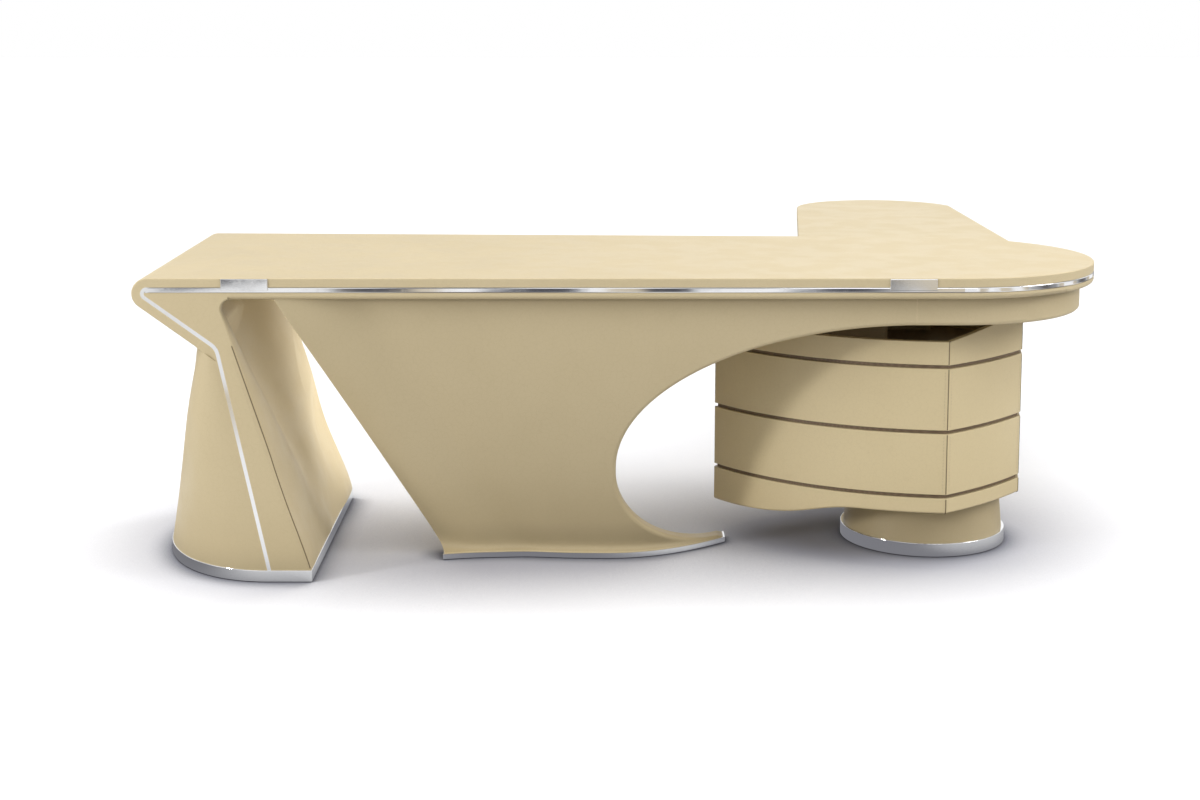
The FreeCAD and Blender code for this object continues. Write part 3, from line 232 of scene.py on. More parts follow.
def build_wear_and_painted_shade():
    inputs = {"Width": RUB_AND_HIGHLIGHT_WIDTH, "Reach": PAINTED_SHADE_REACH, "Corner": PAINTED_CORNER_REACH}
    tree, given, result = start_group("wear_and_painted_shade", inputs, ["Rubbed", "Painted Shade", "Painted Corner Shade"])
    # The edge mask marks rubbed wear, and its paler colour is also a painted highlight on the rounded edges.
    rounded = put(tree, "ShaderNodeBevel", {"Radius": given["Width"]}, samples=4).outputs[0]
    flat = put(tree, "ShaderNodeNewGeometry").outputs["Normal"]
    turn = put(tree, "ShaderNodeVectorMath", {0: rounded, 1: flat}, operation="DOT_PRODUCT")
    tree.links.new(remap(tree, turn.outputs["Value"], RUB_AND_HIGHLIGHT_TURN, (1.0, 0.0)), result["Rubbed"])
    # Both masks below are painted shade: they darken the leather where other surfaces stand close.
    tree.links.new(painted_shade_mask(tree, given["Reach"]), result["Painted Shade"])
    tree.links.new(painted_shade_mask(tree, given["Corner"]), result["Painted Corner Shade"])
    return tree


wear_and_painted_shade = build_wear_and_painted_shade()
print("group", wear_and_painted_shade.name)

# %% [markdown]
# Leather finishes
#
# The top, the leg and the panel share one cream. The cabinet takes a slightly warmer copy of that cream,
# painted lighter as painted light for its faces, and the blocks in the hollow over it are a shade darker. The
# cloud of the group shifts the colour by a few percent, the creases are a little darker than the pebbles, and
# the roughness varies so that highlights break up. The painted marks come last: a wide layer of painted shade
# where other surfaces stand close, a narrow darker one in the corners, and the edges, paler as if rubbed and
# partly a painted highlight.

# %% Leather materials
CREASE_HEIGHT = (0.0, 0.6)
CREASE_SHARE = 0.35
CORNER_SHADE = 0.62
RUB_AND_HIGHLIGHT_STRENGTH = 0.4
# The paler edge colour is partly wear and partly a painted highlight.
RUB_AND_HIGHLIGHT_PALER = 1.18
RUB_SMOOTHER = 0.25
LEATHER_ROUGHNESS = (0.40, 0.52)
LEATHER_SPECULAR = 0.42


def start_material(name):
    """A material, its tree, its shader, and the place on the object that patterns follow."""
    material = bpy.data.materials.new(name)
    material.use_nodes = True
    tree = material.node_tree
    shader = tree.nodes["Principled BSDF"]
    place = put(tree, "ShaderNodeTexCoord").outputs["Object"]
    return material, tree, shader, place


def use_group(tree, group, **inputs):
    """Set a group down in a tree; an input is either a number or the socket that feeds it."""
    return put(tree, "ShaderNodeGroup", inputs, node_tree=group).outputs


def toned(colour, share):
    """A colour made paler or darker."""
    return [min(1.0, share * part) for part in colour[:3]] + [1]


def leather(name, light, dark, crease, pebble):
    """A hide with its dye from light to dark, its crease colour and the size of its pebbles."""
    material, tree, shader, place = start_material(name)
    grain = use_group(tree, leather_grain, Place=place, Pebble=pebble)
    wear = use_group(tree, wear_and_painted_shade, Width=RUB_AND_HIGHLIGHT_WIDTH, Reach=PAINTED_SHADE_REACH, Corner=PAINTED_CORNER_REACH)
    dyed = blend_colours(tree, grain["Cloud"], light, dark)
    in_crease = remap(tree, grain["Height"], CREASE_HEIGHT, (CREASE_SHARE, 0.0))
    grained = blend_colours(tree, in_crease, dyed, crease)
    # Painted shade: the colour goes towards the crease colour where other surfaces stand close, darker in
    # corners.
    with_painted_shade = blend_colours(tree, wear["Painted Shade"], grained, crease)
    with_painted_corner_shade = blend_colours(tree, wear["Painted Corner Shade"], with_painted_shade, toned(crease, CORNER_SHADE))
    # Edges paler and smoother: the smoothness is wear, the paler colour partly wear and partly a painted
    # highlight.
    rubbed_and_highlight = math_node(tree, "MULTIPLY", wear["Rubbed"], RUB_AND_HIGHLIGHT_STRENGTH)
    worn = blend_colours(tree, rubbed_and_highlight, with_painted_corner_shade, toned(light, RUB_AND_HIGHLIGHT_PALER))
    tree.links.new(worn, shader.inputs["Base Color"])
    roughness = remap(tree, grain["Gloss"], WHOLE, LEATHER_ROUGHNESS)
    smoother = math_node(tree, "MULTIPLY", rubbed_and_highlight, RUB_SMOOTHER)
    tree.links.new(math_node(tree, "SUBTRACT", roughness, smoother), shader.inputs["Roughness"])
    add_bump(tree, shader, grain["Height"], strength=0.25, distance=0.0003)
    shader.inputs["Specular IOR Level"].default_value = LEATHER_SPECULAR
    return material


FINISHES = {
    "leather": leather("cream_leather", light=(0.635, 0.525, 0.325, 1), dark=(0.615, 0.507, 0.309, 1),
                       crease=(0.49, 0.39, 0.22, 1), pebble=0.0016),
    # The cabinet's copy of the cream is painted lighter: painted light that makes up for light its faces
    # lack.
    "cabinet_leather": leather("cabinet_leather", light=(0.725, 0.60, 0.36, 1), dark=(0.705, 0.58, 0.342, 1),
                               crease=(0.55, 0.43, 0.24, 1), pebble=0.0014),
    "block_leather": leather("block_leather", light=(0.66, 0.54, 0.34, 1), dark=(0.62, 0.50, 0.31, 1),
                             crease=(0.46, 0.36, 0.21, 1), pebble=0.0014),
}
print(sorted(FINISHES))

# %% [markdown]
# Chrome
#
# The edging, the clasps, the plinth and the rings are polished chrome. A perfect mirror is quickly made, but
# real plated metal is never quite flat or clean: a very slow waviness bends the reflections, and a haze of
# handling marks dulls the gloss in patches. One group gives both, and the material keeps its metal values on
# its own sockets. The zinc of the drawer runners is the same thing, duller.

# %% Chrome group and material
HAZE_EDGES = (0.42, 0.75)


def make_polish_haze():
    inputs = {"Place": ORIGIN, "Patch": 0.06, "Wave": 0.12}
    tree, given, result = start_group("polish_haze", inputs, ["Haze", "Height"])
    patches = noise(tree, given["Place"], per_metre(tree, given["Patch"]), detail=6.0, Roughness=0.7)[0]
    tree.links.new(remap(tree, patches, HAZE_EDGES, WHOLE), result["Haze"])
    waves = noise(tree, given["Place"], per_metre(tree, given["Wave"]), detail=1.0)[0]
    tree.links.new(waves, result["Height"])
    return tree


polish_haze = make_polish_haze()


def polished_metal(name, colour, roughness):
    """A metal whose roughness goes from its clean value to its hazy one."""
    material, tree, shader, place = start_material(name)
    haze = use_group(tree, polish_haze, Place=place)
    shader.inputs["Base Color"].default_value = colour
    shader.inputs["Metallic"].default_value = 1.0
    tree.links.new(remap(tree, haze["Haze"], WHOLE, roughness), shader.inputs["Roughness"])
    add_bump(tree, shader, haze["Height"], strength=0.06, distance=0.0008)
    return material


FINISHES["chrome"] = polished_metal("chrome", (0.86, 0.865, 0.875, 1), roughness=(0.05, 0.09))
FINISHES["runner_steel"] = polished_metal("zinc_runner", (0.55, 0.56, 0.57, 1), roughness=(0.28, 0.45))
print("metal", [FINISHES[name].name for name in ("chrome", "runner_steel")])

# %% [markdown]
# Wood
#
# The decks between the drawers are stained dark brown, the drawer boxes are clear-lacquered, and the core
# boards inside the top are bare. All three are the same thing to a node tree: noise that is stretched along
# the board for the fibres, with broad bands across it for the growth rings.

# %% Wood group and materials
STRETCH = (1.0, 9.0, 9.0)
RING_SCALE = 0.11
FIBRES_PER_METRE = 90.0
STREAK_STRENGTH = 0.45
FIBRE_ROUGHNESS = 0.12


def make_wood_grain():
    inputs = {"Place": ORIGIN, "Ring": 0.022}
    tree, given, result = start_group("wood_grain", inputs, ["Rings", "Fibres"])
    along = put(tree, "ShaderNodeMapping", {"Vector": given["Place"], "Scale": STRETCH}).outputs[0]
    bands = {"Vector": along, "Scale": math_node(tree, "DIVIDE", RING_SCALE, given["Ring"]),
             "Distortion": 5.0, "Detail": 3.0, "Detail Scale": 1.2}
    rings = put(tree, "ShaderNodeTexWave", bands, bands_direction="Y").outputs[1]
    tree.links.new(rings, result["Rings"])
    fibres = noise(tree, along, FIBRES_PER_METRE, detail=5.0)[0]
    tree.links.new(remap(tree, fibres, NOISE_MIDDLE, WHOLE), result["Fibres"])
    return tree


wood_grain = make_wood_grain()


def wood(name, early, late, smooth, ring):
    """A board with early and late wood in its rings."""
    material, tree, shader, place = start_material(name)
    grain = use_group(tree, wood_grain, Place=place, Ring=ring)
    banded = blend_colours(tree, grain["Rings"], early, late)
    streaks = math_node(tree, "MULTIPLY", grain["Fibres"], STREAK_STRENGTH)
    tree.links.new(blend_colours(tree, streaks, banded, late), shader.inputs["Base Color"])
    roughness = remap(tree, grain["Fibres"], WHOLE, (smooth, smooth + FIBRE_ROUGHNESS))
    tree.links.new(roughness, shader.inputs["Roughness"])
    add_bump(tree, shader, grain["Fibres"], strength=0.2, distance=0.0002)
    return material


FINISHES["dark_deck"] = wood("stained_deck", early=(0.250, 0.180, 0.110, 1), late=(0.190, 0.130, 0.078, 1),
                             smooth=0.38, ring=0.016)
FINISHES["drawer_wood"] = wood("drawer_box", early=(0.56, 0.40, 0.24, 1), late=(0.43, 0.29, 0.16, 1),
                               smooth=0.34, ring=0.022)
FINISHES["core_wood"] = wood("core_board", early=(0.47, 0.36, 0.24, 1), late=(0.38, 0.28, 0.18, 1),
                             smooth=0.62, ring=0.012)
print("wood", [FINISHES[name].name for name in ("dark_deck", "drawer_wood", "core_wood")])

# %% [markdown]
# Paint and plastic
#
# The steel rail under the top is powder coated, which leaves a fine orange-peel skin. The glides are moulded
# from dark plastic with a sandy texture. Both are a dark colour with noise of the right size in the bump, so
# one function makes them, with the size and the depth of that noise as its values.

# %% Speckled materials
PATCHES_PER_METRE = 24.0
PATCH_MIDDLE = (0.2, 0.8)
PATCH_ROUGHNESS = 0.15


def make_speckle():
    inputs = {"Place": ORIGIN, "Grain": 0.001}
    tree, given, result = start_group("speckle", inputs, ["Height", "Patch"])
    fine = noise(tree, given["Place"], per_metre(tree, given["Grain"]), detail=3.0)[0]
    tree.links.new(fine, result["Height"])
    patch = noise(tree, given["Place"], PATCHES_PER_METRE, detail=3.0)[0]
    tree.links.new(patch, result["Patch"])
    return tree


speckle = make_speckle()


def speckled(name, colour, worn, smooth, grain, depth):
    """A skin with a fine bump, a little worn in patches."""
    material, tree, shader, place = start_material(name)
    marks = use_group(tree, speckle, Place=place, Grain=grain)
    tree.links.new(blend_colours(tree, marks["Patch"], colour, worn), shader.inputs["Base Color"])
    roughness = remap(tree, marks["Patch"], PATCH_MIDDLE, (smooth, smooth + PATCH_ROUGHNESS))
    tree.links.new(roughness, shader.inputs["Roughness"])
    add_bump(tree, shader, marks["Height"], strength=0.5, distance=depth)
    return material


FINISHES["rail_steel"] = speckled("powder_coat", (0.030, 0.030, 0.032, 1), worn=(0.055, 0.055, 0.058, 1),
                                  smooth=0.42, grain=0.0014, depth=0.0002)
FINISHES["glide"] = speckled("glide_plastic", (0.020, 0.020, 0.020, 1), worn=(0.045, 0.044, 0.042, 1),
                             smooth=0.55, grain=0.0005, depth=0.0001)
print(len(FINISHES), "finishes")

# %% [markdown]
# Dress the solids
#
# Each solid's record names the finish that it takes, so one loop hands them out, and no list of solids has
# to be kept here. The shapes stay as they are.

# %% Finishes on the solids
for part in frame["record"]["subparts"]:
    nodes[part["node"]].material_slots[0].material = FINISHES[part["material_slot"]]

# %% [markdown]
# Thread
#
# The hides meet at the leg's front seam and at the cabinet's corners, and are sewn on both sides of each
# meeting. The thread is a tone lighter than the leather, waxed, and laid up from strands, so its colour and
# its bump follow a fine wave. Modelled strands would be too fine to see, and a wave texture is enough: a
# stitch is only a few millimetres long.

# %% Thread material
TWIST_SCALE = 0.31
THREAD_ROUGHNESS = (0.62, 0.48)


def thread(name, light, dark, strand):
    """A thread with the light and dark of its strands."""
    material, tree, shader, place = start_material(name)
    strands = {"Vector": place, "Scale": TWIST_SCALE / strand, "Distortion": 1.5, "Detail": 2.0}
    twist = put(tree, "ShaderNodeTexWave", strands, bands_direction="DIAGONAL").outputs[1]
    tree.links.new(blend_colours(tree, twist, dark, light), shader.inputs["Base Color"])
    tree.links.new(remap(tree, twist, WHOLE, THREAD_ROUGHNESS), shader.inputs["Roughness"])
    add_bump(tree, shader, twist, strength=0.5, distance=0.0002)
    return material


waxed_thread = thread("waxed_thread", light=(0.72, 0.60, 0.40, 1), dark=(0.52, 0.42, 0.26, 1), strand=0.0006)
print("thread", waxed_thread.name)

# %% [markdown]
# Rows of stitches
#
# A saddle stitch is the same short loop hundreds of times over, so it is a job for Geometry Nodes. The tree
# takes a path, spaces points along it, and sets one flattened bead on each, turned to lie along the row and
# to face out of the leather. The sizes are inputs of the tree, so another row can be sewn coarser or finer.
# Realize Instances and Set Material come last, because the export drops instances.

# %% Stitch tree
STITCH_SIZES = {"Pitch": 0.0076, "Length": 0.0058, "Width": 0.0014, "Height": 0.0012}
BEAD = {"Segments": 8, "Rings": 6, "Radius": 0.5}


def start_path_tree(name, sizes):
    """A geometry tree that takes a path and some sizes, and the sockets to wire it with."""
    tree = bpy.data.node_groups.new(name, "GeometryNodeTree")
    tree.interface.new_socket(name="Path", in_out="INPUT", socket_type="NodeSocketGeometry")
    for label, value in sizes.items():
        socket = tree.interface.new_socket(name=label, in_out="INPUT", socket_type="NodeSocketFloat")
        socket.default_value = value
    tree.interface.new_socket(name="Result", in_out="OUTPUT", socket_type="NodeSocketGeometry")
    given = tree.nodes.new("NodeGroupInput").outputs
    row = put(tree, "GeometryNodeMeshToCurve", {"Mesh": given["Path"]}).outputs[0]
    return tree, given, row, tree.nodes.new("NodeGroupOutput").inputs["Result"]


def end_path_tree(tree, made, material, result):
    """Turn what was made into a real mesh with its material, and hand it out."""
    real = put(tree, "GeometryNodeRealizeInstances", {"Geometry": made}).outputs[0]
    dressed = put(tree, "GeometryNodeSetMaterial", {"Geometry": real, "Material": material}).outputs[0]
    tree.links.new(dressed, result)


def make_saddle_stitch():
    tree, given, row, result = start_path_tree("saddle_stitch", STITCH_SIZES)
    spacing = {"Curve": row, "Length": given["Pitch"]}
    spaced = put(tree, "GeometryNodeResampleCurve", spacing, mode="LENGTH").outputs[0]
    bead = put(tree, "GeometryNodeMeshUVSphere", BEAD).outputs["Mesh"]
    sides = {"X": given["Length"], "Y": given["Width"], "Z": given["Height"]}
    size = put(tree, "ShaderNodeCombineXYZ", sides).outputs[0]
    flat = put(tree, "GeometryNodeTransform", {"Geometry": bead, "Scale": size}).outputs[0]
    stitch = put(tree, "GeometryNodeSetShadeSmooth", {"Geometry": flat}).outputs[0]
    run = put(tree, "GeometryNodeInputTangent").outputs[0]
    outward = put(tree, "GeometryNodeInputNamedAttribute", {"Name": "outward"}, data_type="FLOAT_VECTOR")
    axes = {"Primary Axis": run, "Secondary Axis": outward.outputs[0]}
    turn = put(tree, "FunctionNodeAxesToRotation", axes, primary_axis="X", secondary_axis="Z").outputs[0]
    copies = {"Points": spaced, "Instance": stitch, "Rotation": turn}
    placed = put(tree, "GeometryNodeInstanceOnPoints", copies).outputs[0]
    end_path_tree(tree, placed, waxed_thread, result)
    return tree


saddle_stitch = make_saddle_stitch()
print("tree", saddle_stitch.name)

# %% [markdown]
# Piping
#
# Where two hides meet at a corner, a thin round welt of a darker hide is set into the seam. From a few
# metres off it shows as one fine dark line. A curve with a round bevel would do too, but a second, smaller
# tree takes its path in the same way as the stitches do, and sweeps a circle along it.

# %% Piping tree
PIPING_SIZES = {"Thickness": 0.0026}
PIPING_SIDES = 8
FINISHES["piping"] = leather("piping_leather", light=(0.20, 0.145, 0.080, 1), dark=(0.17, 0.122, 0.066, 1),
                             crease=(0.11, 0.078, 0.042, 1), pebble=0.0008)


def make_piping():
    tree, given, row, result = start_path_tree("piping", PIPING_SIZES)
    radius = math_node(tree, "MULTIPLY", given["Thickness"], 0.5)
    section = {"Resolution": PIPING_SIDES, "Radius": radius}
    ring = put(tree, "GeometryNodeCurvePrimitiveCircle", section).outputs[0]
    swept = put(tree, "GeometryNodeCurveToMesh", {"Curve": row, "Profile Curve": ring, "Fill Caps": True})
    smooth = put(tree, "GeometryNodeSetShadeSmooth", {"Geometry": swept.outputs[0]}).outputs[0]
    end_path_tree(tree, smooth, FINISHES["piping"], result)
    return tree


piping = make_piping()
print("tree", piping.name)

# %% [markdown]
# How a seam is sewn
#
# A row is given by its two ends, on the seam or a little beside it. It is then laid on the solid: every
# point of it moves to the nearest place on the surface and keeps the direction that the surface faces there.
# That way the rows follow the bulge of the cabinet's faces without any measuring. The tree runs on that path
# once, and its result is kept as a plain mesh.

# %% Sewing
ROW_STEPS = 24


def lay_rows(rows):
    """A mesh of separate lines that lie on the solids, with the outward direction kept at every point."""
    places, faces_out, links = [], [], []
    for node, start, end in rows:
        for step in range(ROW_STEPS + 1):
            wanted = Vector(start).lerp(Vector(end), step / ROW_STEPS)
            _, place, normal, _ = nodes[node].closest_point_on_mesh(wanted)
            if step:
                links.append((len(places) - 1, len(places)))
            places.append(place)
            faces_out.append(normal)
    mesh = bpy.data.meshes.new("stitch_rows")
    mesh.from_pydata(places, links, [])
    outward = mesh.attributes.new("outward", "FLOAT_VECTOR", "POINT")
    for item, direction in zip(outward.data, faces_out):
        item.vector = direction
    return mesh


def sew(name, rows, body, tree, sizes):
    """Run a tree on rows that lie on the solids, and keep the result as one plain mesh on a body."""
    path = add_object(name + "_path", lay_rows(rows))
    modifier = path.modifiers.new("sewing", "NODES")
    modifier.node_group = tree
    for item in tree.interface.items_tree:
        if item.in_out == "INPUT" and item.name in sizes:
            modifier[item.identifier] = sizes[item.name]
    evaluated = path.evaluated_get(bpy.context.evaluated_depsgraph_get())
    mesh = bpy.data.meshes.new_from_object(evaluated)
    bpy.data.objects.remove(path)
    row = add_object(name, mesh)
    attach(row, body)
    return row


print("ready to sew rows of", ROW_STEPS, "steps")

# %% [markdown]
# Sew the seams
#
# The leg has one seam in front, where its flat face turns into its inner side. It is stitched on both sides,
# and piped a little further than it is stitched. Three upright corners of the cabinet are piped on every
# band and stitched on the two tall ones. The tip on the left and the corner beside the drawers stay plain.
# The heights of the bands come from the solids, so the rows fit them if they change.

# %% Stitched and piped seams
BESIDE = 0.010
SEAM_END = 0.002
SEAM_FOOT, SEAM_HEAD = Vector((-0.794, -1.139, 0.060)), Vector((-0.953, -1.139, 0.550))
PAST_FOOT, PAST_HEAD = 0.05, 0.08
CABINET_CORNERS = [(0.230, -0.709), (0.788, -1.045), (1.016, -0.828), (1.016, -0.590), (0.788, -0.373)]
PIPED_CORNERS = (1, 2, 3)
TALL_BANDS = ("walls_lower", "walls_upper")
ALL_BANDS = ("cabinet_base", *TALL_BANDS, "cabinet_rim")

seam_run = SEAM_HEAD - SEAM_FOOT
seam_rows = [("leg_core", SEAM_FOOT - PAST_FOOT * seam_run, SEAM_HEAD + PAST_HEAD * seam_run)]
leg_rows = []
for side in (Vector((-BESIDE, 0, 0)), Vector((0, BESIDE, 0))):
    leg_rows.append(("leg_core", SEAM_FOOT + side, SEAM_HEAD + side))
corner_rows = []
for index in PIPED_CORNERS:
    corner = Vector(CABINET_CORNERS[index])
    for node in ALL_BANDS:
        low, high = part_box(node)
        seam_rows.append((node, (*corner, low[2] + SEAM_END), (*corner, high[2] - SEAM_END)))
    for neighbour in (index - 1, index + 1):
        beside = corner + (Vector(CABINET_CORNERS[neighbour]) - corner).normalized() * BESIDE
        for node in TALL_BANDS:
            low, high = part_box(node)
            corner_rows.append((node, (*beside, low[2] + BESIDE), (*beside, high[2] - BESIDE)))
for name, rows, tree, sizes in (("leg_stitches", leg_rows, saddle_stitch, STITCH_SIZES),
                                ("cabinet_stitches", corner_rows, saddle_stitch, STITCH_SIZES),
                                ("seam_piping", seam_rows, piping, PIPING_SIZES)):
    made = sew(name, rows, "desk", tree, sizes)
    print(made.name, len(made.data.polygons), "faces in", len(rows), "rows")

# %% [markdown]
# The lining of the leg
#
# The flute in the leg's inner side is deepest just under the top, where it comes through to the folded slab
# behind it. A leather lining bridges that place. It is a thin closed skin that lies just under the surface
# of the leg wherever the leg is whole, and comes forward smoothly where the flute would be too deep. Rays
# find the surface of the leg, so the skin follows it without a second copy of its curves.

# %% Leg lining
LINING_FRONT, LINING_REAR, LINING_COLUMNS = -1.02, -0.48, 54
LINING_FOOT, LINING_HEAD, LINING_ROWS = 0.54, 0.695, 31
LINING_DEEPEST = -1.039
LINING_LEAN = 0.7
LINING_BEND = 0.607
LINING_BLEND = 0.014
LINING_TUCK = 0.0005
LINING_THICK = 0.0012
RAY_START = -0.75
FAR_BEHIND = -1.2


def smooth_max(first, second, reach):
    """The larger of two values, with a soft change from one to the other."""
    share = min(1.0, max(0.0, 0.5 + 0.5 * (first - second) / reach))
    return second + (first - second) * share + reach * share * (1 - share)


def lining_place(y, z):
    """A place on the lining: under the leg's surface, but no deeper than the lining goes at that height."""
    hit, place, _, _ = nodes["leg_core"].ray_cast(Vector((RAY_START, y, z)), Vector((-1, 0, 0)))
    wall = place.x - LINING_TUCK if hit else FAR_BEHIND
    limit = LINING_DEEPEST - LINING_LEAN * max(0.0, z - LINING_BEND)
    return Vector((smooth_max(wall, limit, LINING_BLEND), y, z))


def make_lining(across, up):
    """A closed skin on a grid of places: the face, the same moved back by its thickness, and the rim."""
    places, faces = [], []
    for row in range(up + 1):
        for column in range(across + 1):
            y = LINING_FRONT + (LINING_REAR - LINING_FRONT) * column / across
            z = LINING_FOOT + (LINING_HEAD - LINING_FOOT) * row / up
            places.append(lining_place(y, z))
    count = len(places)
    places += [place - Vector((LINING_THICK, 0, 0)) for place in places]
    for row in range(up):
        for column in range(across):
            first = row * (across + 1) + column
            quad = (first, first + 1, first + across + 2, first + across + 1)
            faces += [quad, tuple(corner + count for corner in reversed(quad))]
    rim = [*range(across), *range(across, count - 1, across + 1), *range(count - 1, count - 1 - across, -1),
           *range(count - 1 - across, 0, -(across + 1))]
    for here, there in zip(rim, rim[1:] + rim[:1]):
        faces.append((there, here, here + count, there + count))
    mesh = bpy.data.meshes.new("leg_lining")
    mesh.from_pydata(places, [], faces)
    mesh.polygons.foreach_set("use_smooth", [True] * len(mesh.polygons))
    mesh.materials.append(FINISHES["leather"])
    return mesh


lining = add_object("leg_lining", make_lining(LINING_COLUMNS, LINING_ROWS))
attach(lining, "desk")
print(lining.name, len(lining.data.polygons), "faces")

# %% [markdown]
# The end of the edge strip
#
# At the nose the strip stops a few millimetres short of the line that runs down the leg. A small chrome
# ferrule closes that gap. It is as high as the strip, reaches a little over its end, and its edges are
# rounded so that they catch the light.

# %% Strip ferrule
FERRULE_LENGTH = 0.0090
FERRULE_DEPTH = 0.030
FERRULE_OVERLAP = 0.001
FERRULE_SET_BACK = 0.0004
FERRULE_ROUND = 0.0006
FERRULE_SEGMENTS = 3


def make_ferrule():
    low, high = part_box("edge_strip")
    size = Vector((FERRULE_LENGTH, FERRULE_DEPTH, high[2] - low[2]))
    corner = Vector((low[0] - FERRULE_LENGTH + FERRULE_OVERLAP, low[1] + FERRULE_SET_BACK, low[2]))
    shape = bmesh.new()
    bmesh.ops.create_cube(shape, size=1.0)
    for point in shape.verts:
        point.co = corner + size * 0.5 + point.co * size
    bmesh.ops.bevel(shape, geom=shape.edges[:], offset=FERRULE_ROUND, segments=FERRULE_SEGMENTS,
                    profile=0.5, affect="EDGES")
    mesh = bpy.data.meshes.new("strip_ferrule")
    shape.to_mesh(mesh)
    shape.free()
    mesh.materials.append(FINISHES["chrome"])
    return mesh


ferrule = add_object("strip_ferrule", make_ferrule())
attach(ferrule, "desk")
print(ferrule.name, len(ferrule.data.polygons), "faces")

# %% [markdown]
# Flags
#
# Polished metal only looks like metal when it has something dark to reflect. A photographer stands dark or
# coloured cards, called flags, out of the picture for that. Modelled cards would throw shadows and come into
# other views, so here they are masks, and only reflected rays will see them: narrow ones far out on the
# visitor's side, broad soft ones all round, and one wedge for the left clasp. All but the wedge follow the
# bearing round the desk, so that one group serves the floor and the sky.

# %% Flag masks
NARROW_FLAGS = {"count": 44, "drift": 9.0, "start": 0.0}
BROAD_FLAGS = {"count": 9, "drift": 2.0, "start": 1.85}
NARROW_EDGE = (-0.1, 0.5)
STRAIGHT_AHEAD = (0.20, 0.27)
NARROW_ASIDE = 0.12
VISITOR_SIDE = (-0.75, -0.55)
DRIFT_PER_METRE = 0.9
WEDGE_LEFT, WEDGE_RIGHT, WEDGE_FAR = -2.25, -1.76, -6.50
WEDGE_SLOPE, WEDGE_START = -0.713, -7.36


def flag_wave(tree, place, count, drift, start):
    """A wave from one to minus one and back, repeated count times on the way round the desk."""
    parts = put(tree, "ShaderNodeSeparateXYZ", {0: place}).outputs
    bearing = math_node(tree, "ARCTAN2", parts["X"], parts["Y"])
    swing = math_node(tree, "ADD", math_node(tree, "MULTIPLY", bearing, count), start)
    wander = noise(tree, place, DRIFT_PER_METRE, detail=1.0)[0]
    turned = math_node(tree, "ADD", swing, math_node(tree, "MULTIPLY", wander, drift))
    return math_node(tree, "SINE", turned)


def make_dark_flags():
    """A group that says where it is dark: narrow flags far out in front, broad soft ones all round."""
    inputs = {"Place": ORIGIN, "Far": 1.0, "Depth": 1.0}
    tree, given, result = start_group("dark_flags", inputs, ["Mask"])
    narrow = remap(tree, flag_wave(tree, given["Place"], **NARROW_FLAGS), NARROW_EDGE, WHOLE)
    broad = remap(tree, flag_wave(tree, given["Place"], **BROAD_FLAGS), (-1.0, 1.0), (0.0, given["Depth"]))
    ahead = put(tree, "ShaderNodeVectorMath", {0: given["Place"]}, operation="NORMALIZE").outputs[0]
    parts = put(tree, "ShaderNodeSeparateXYZ", {0: ahead}).outputs
    aside = remap(tree, math_node(tree, "ABSOLUTE", parts["X"]), STRAIGHT_AHEAD, (1.0, NARROW_ASIDE))
    fewer = math_node(tree, "MULTIPLY", narrow, aside)
    in_front = remap(tree, parts["Y"], VISITOR_SIDE, (1.0, 0.0))
    where = math_node(tree, "MULTIPLY", in_front, given["Far"])
    mask = put(tree, "ShaderNodeMix", {0: where, 2: broad, 3: fewer}).outputs[0]
    tree.links.new(mask, result["Mask"])
    return tree


def wedge_mask(tree, place):
    """One wedge-shaped flag far out in front, which the left clasp shows as a dark sliver along its top."""
    parts = put(tree, "ShaderNodeSeparateXYZ", {0: place}).outputs
    edge = math_node(tree, "ADD", math_node(tree, "MULTIPLY", parts["X"], WEDGE_SLOPE), WEDGE_START)
    mask = math_node(tree, "LESS_THAN", parts["Y"], edge)
    for comparison, axis, limit in (("GREATER_THAN", "X", WEDGE_LEFT), ("LESS_THAN", "X", WEDGE_RIGHT),
                                    ("GREATER_THAN", "Y", WEDGE_FAR)):
        mask = math_node(tree, "MULTIPLY", mask, math_node(tree, comparison, parts[axis], limit))
    return mask


dark_flags = make_dark_flags()
print("group", dark_flags.name, "with", BROAD_FLAGS["count"], "broad flags round the desk")

# %% [markdown]
# Floor
#
# The desk stands on a plain pale floor that runs out into white. Close to the desk the paint is shaded,
# softly under the whole of it and sharply where something touches, because the eye reads weight from that.
# The floor also returns less light to the desk than it shows to the camera, as a studio does with dark cloth
# out of the picture, so that the upright faces keep their modelling.

# %% Floor
FLOOR_HALF = 40.0
PALE_PAINT, PALER_PAINT = (0.915, 0.915, 0.935, 1), (0.93, 0.93, 0.945, 1)
RETURNED_PAINT = (0.42, 0.42, 0.42, 1)
NEAR_REACH, NEAR_AIR, NEAR_SHADE = 0.6, (0.45, 0.97), (0.41, 0.42, 0.49, 1)
TOUCH_REACH, TOUCH_AIR, TOUCH_SHADE = 0.07, (0.45, 0.95), (0.09, 0.09, 0.105, 1)
FLOOR_GRAIN = 0.004
FLOOR_ROUGHNESS = 0.7
FLOOR_SPECULAR = 0.15


def openness(tree, reach, air):
    """Nought where something stands close over the floor, one where it is open."""
    seen = put(tree, "ShaderNodeAmbientOcclusion", {"Distance": reach}, samples=8).outputs["AO"]
    return put(tree, "ShaderNodeMapRange", {0: seen, 1: air[0], 2: air[1]}).outputs[0]


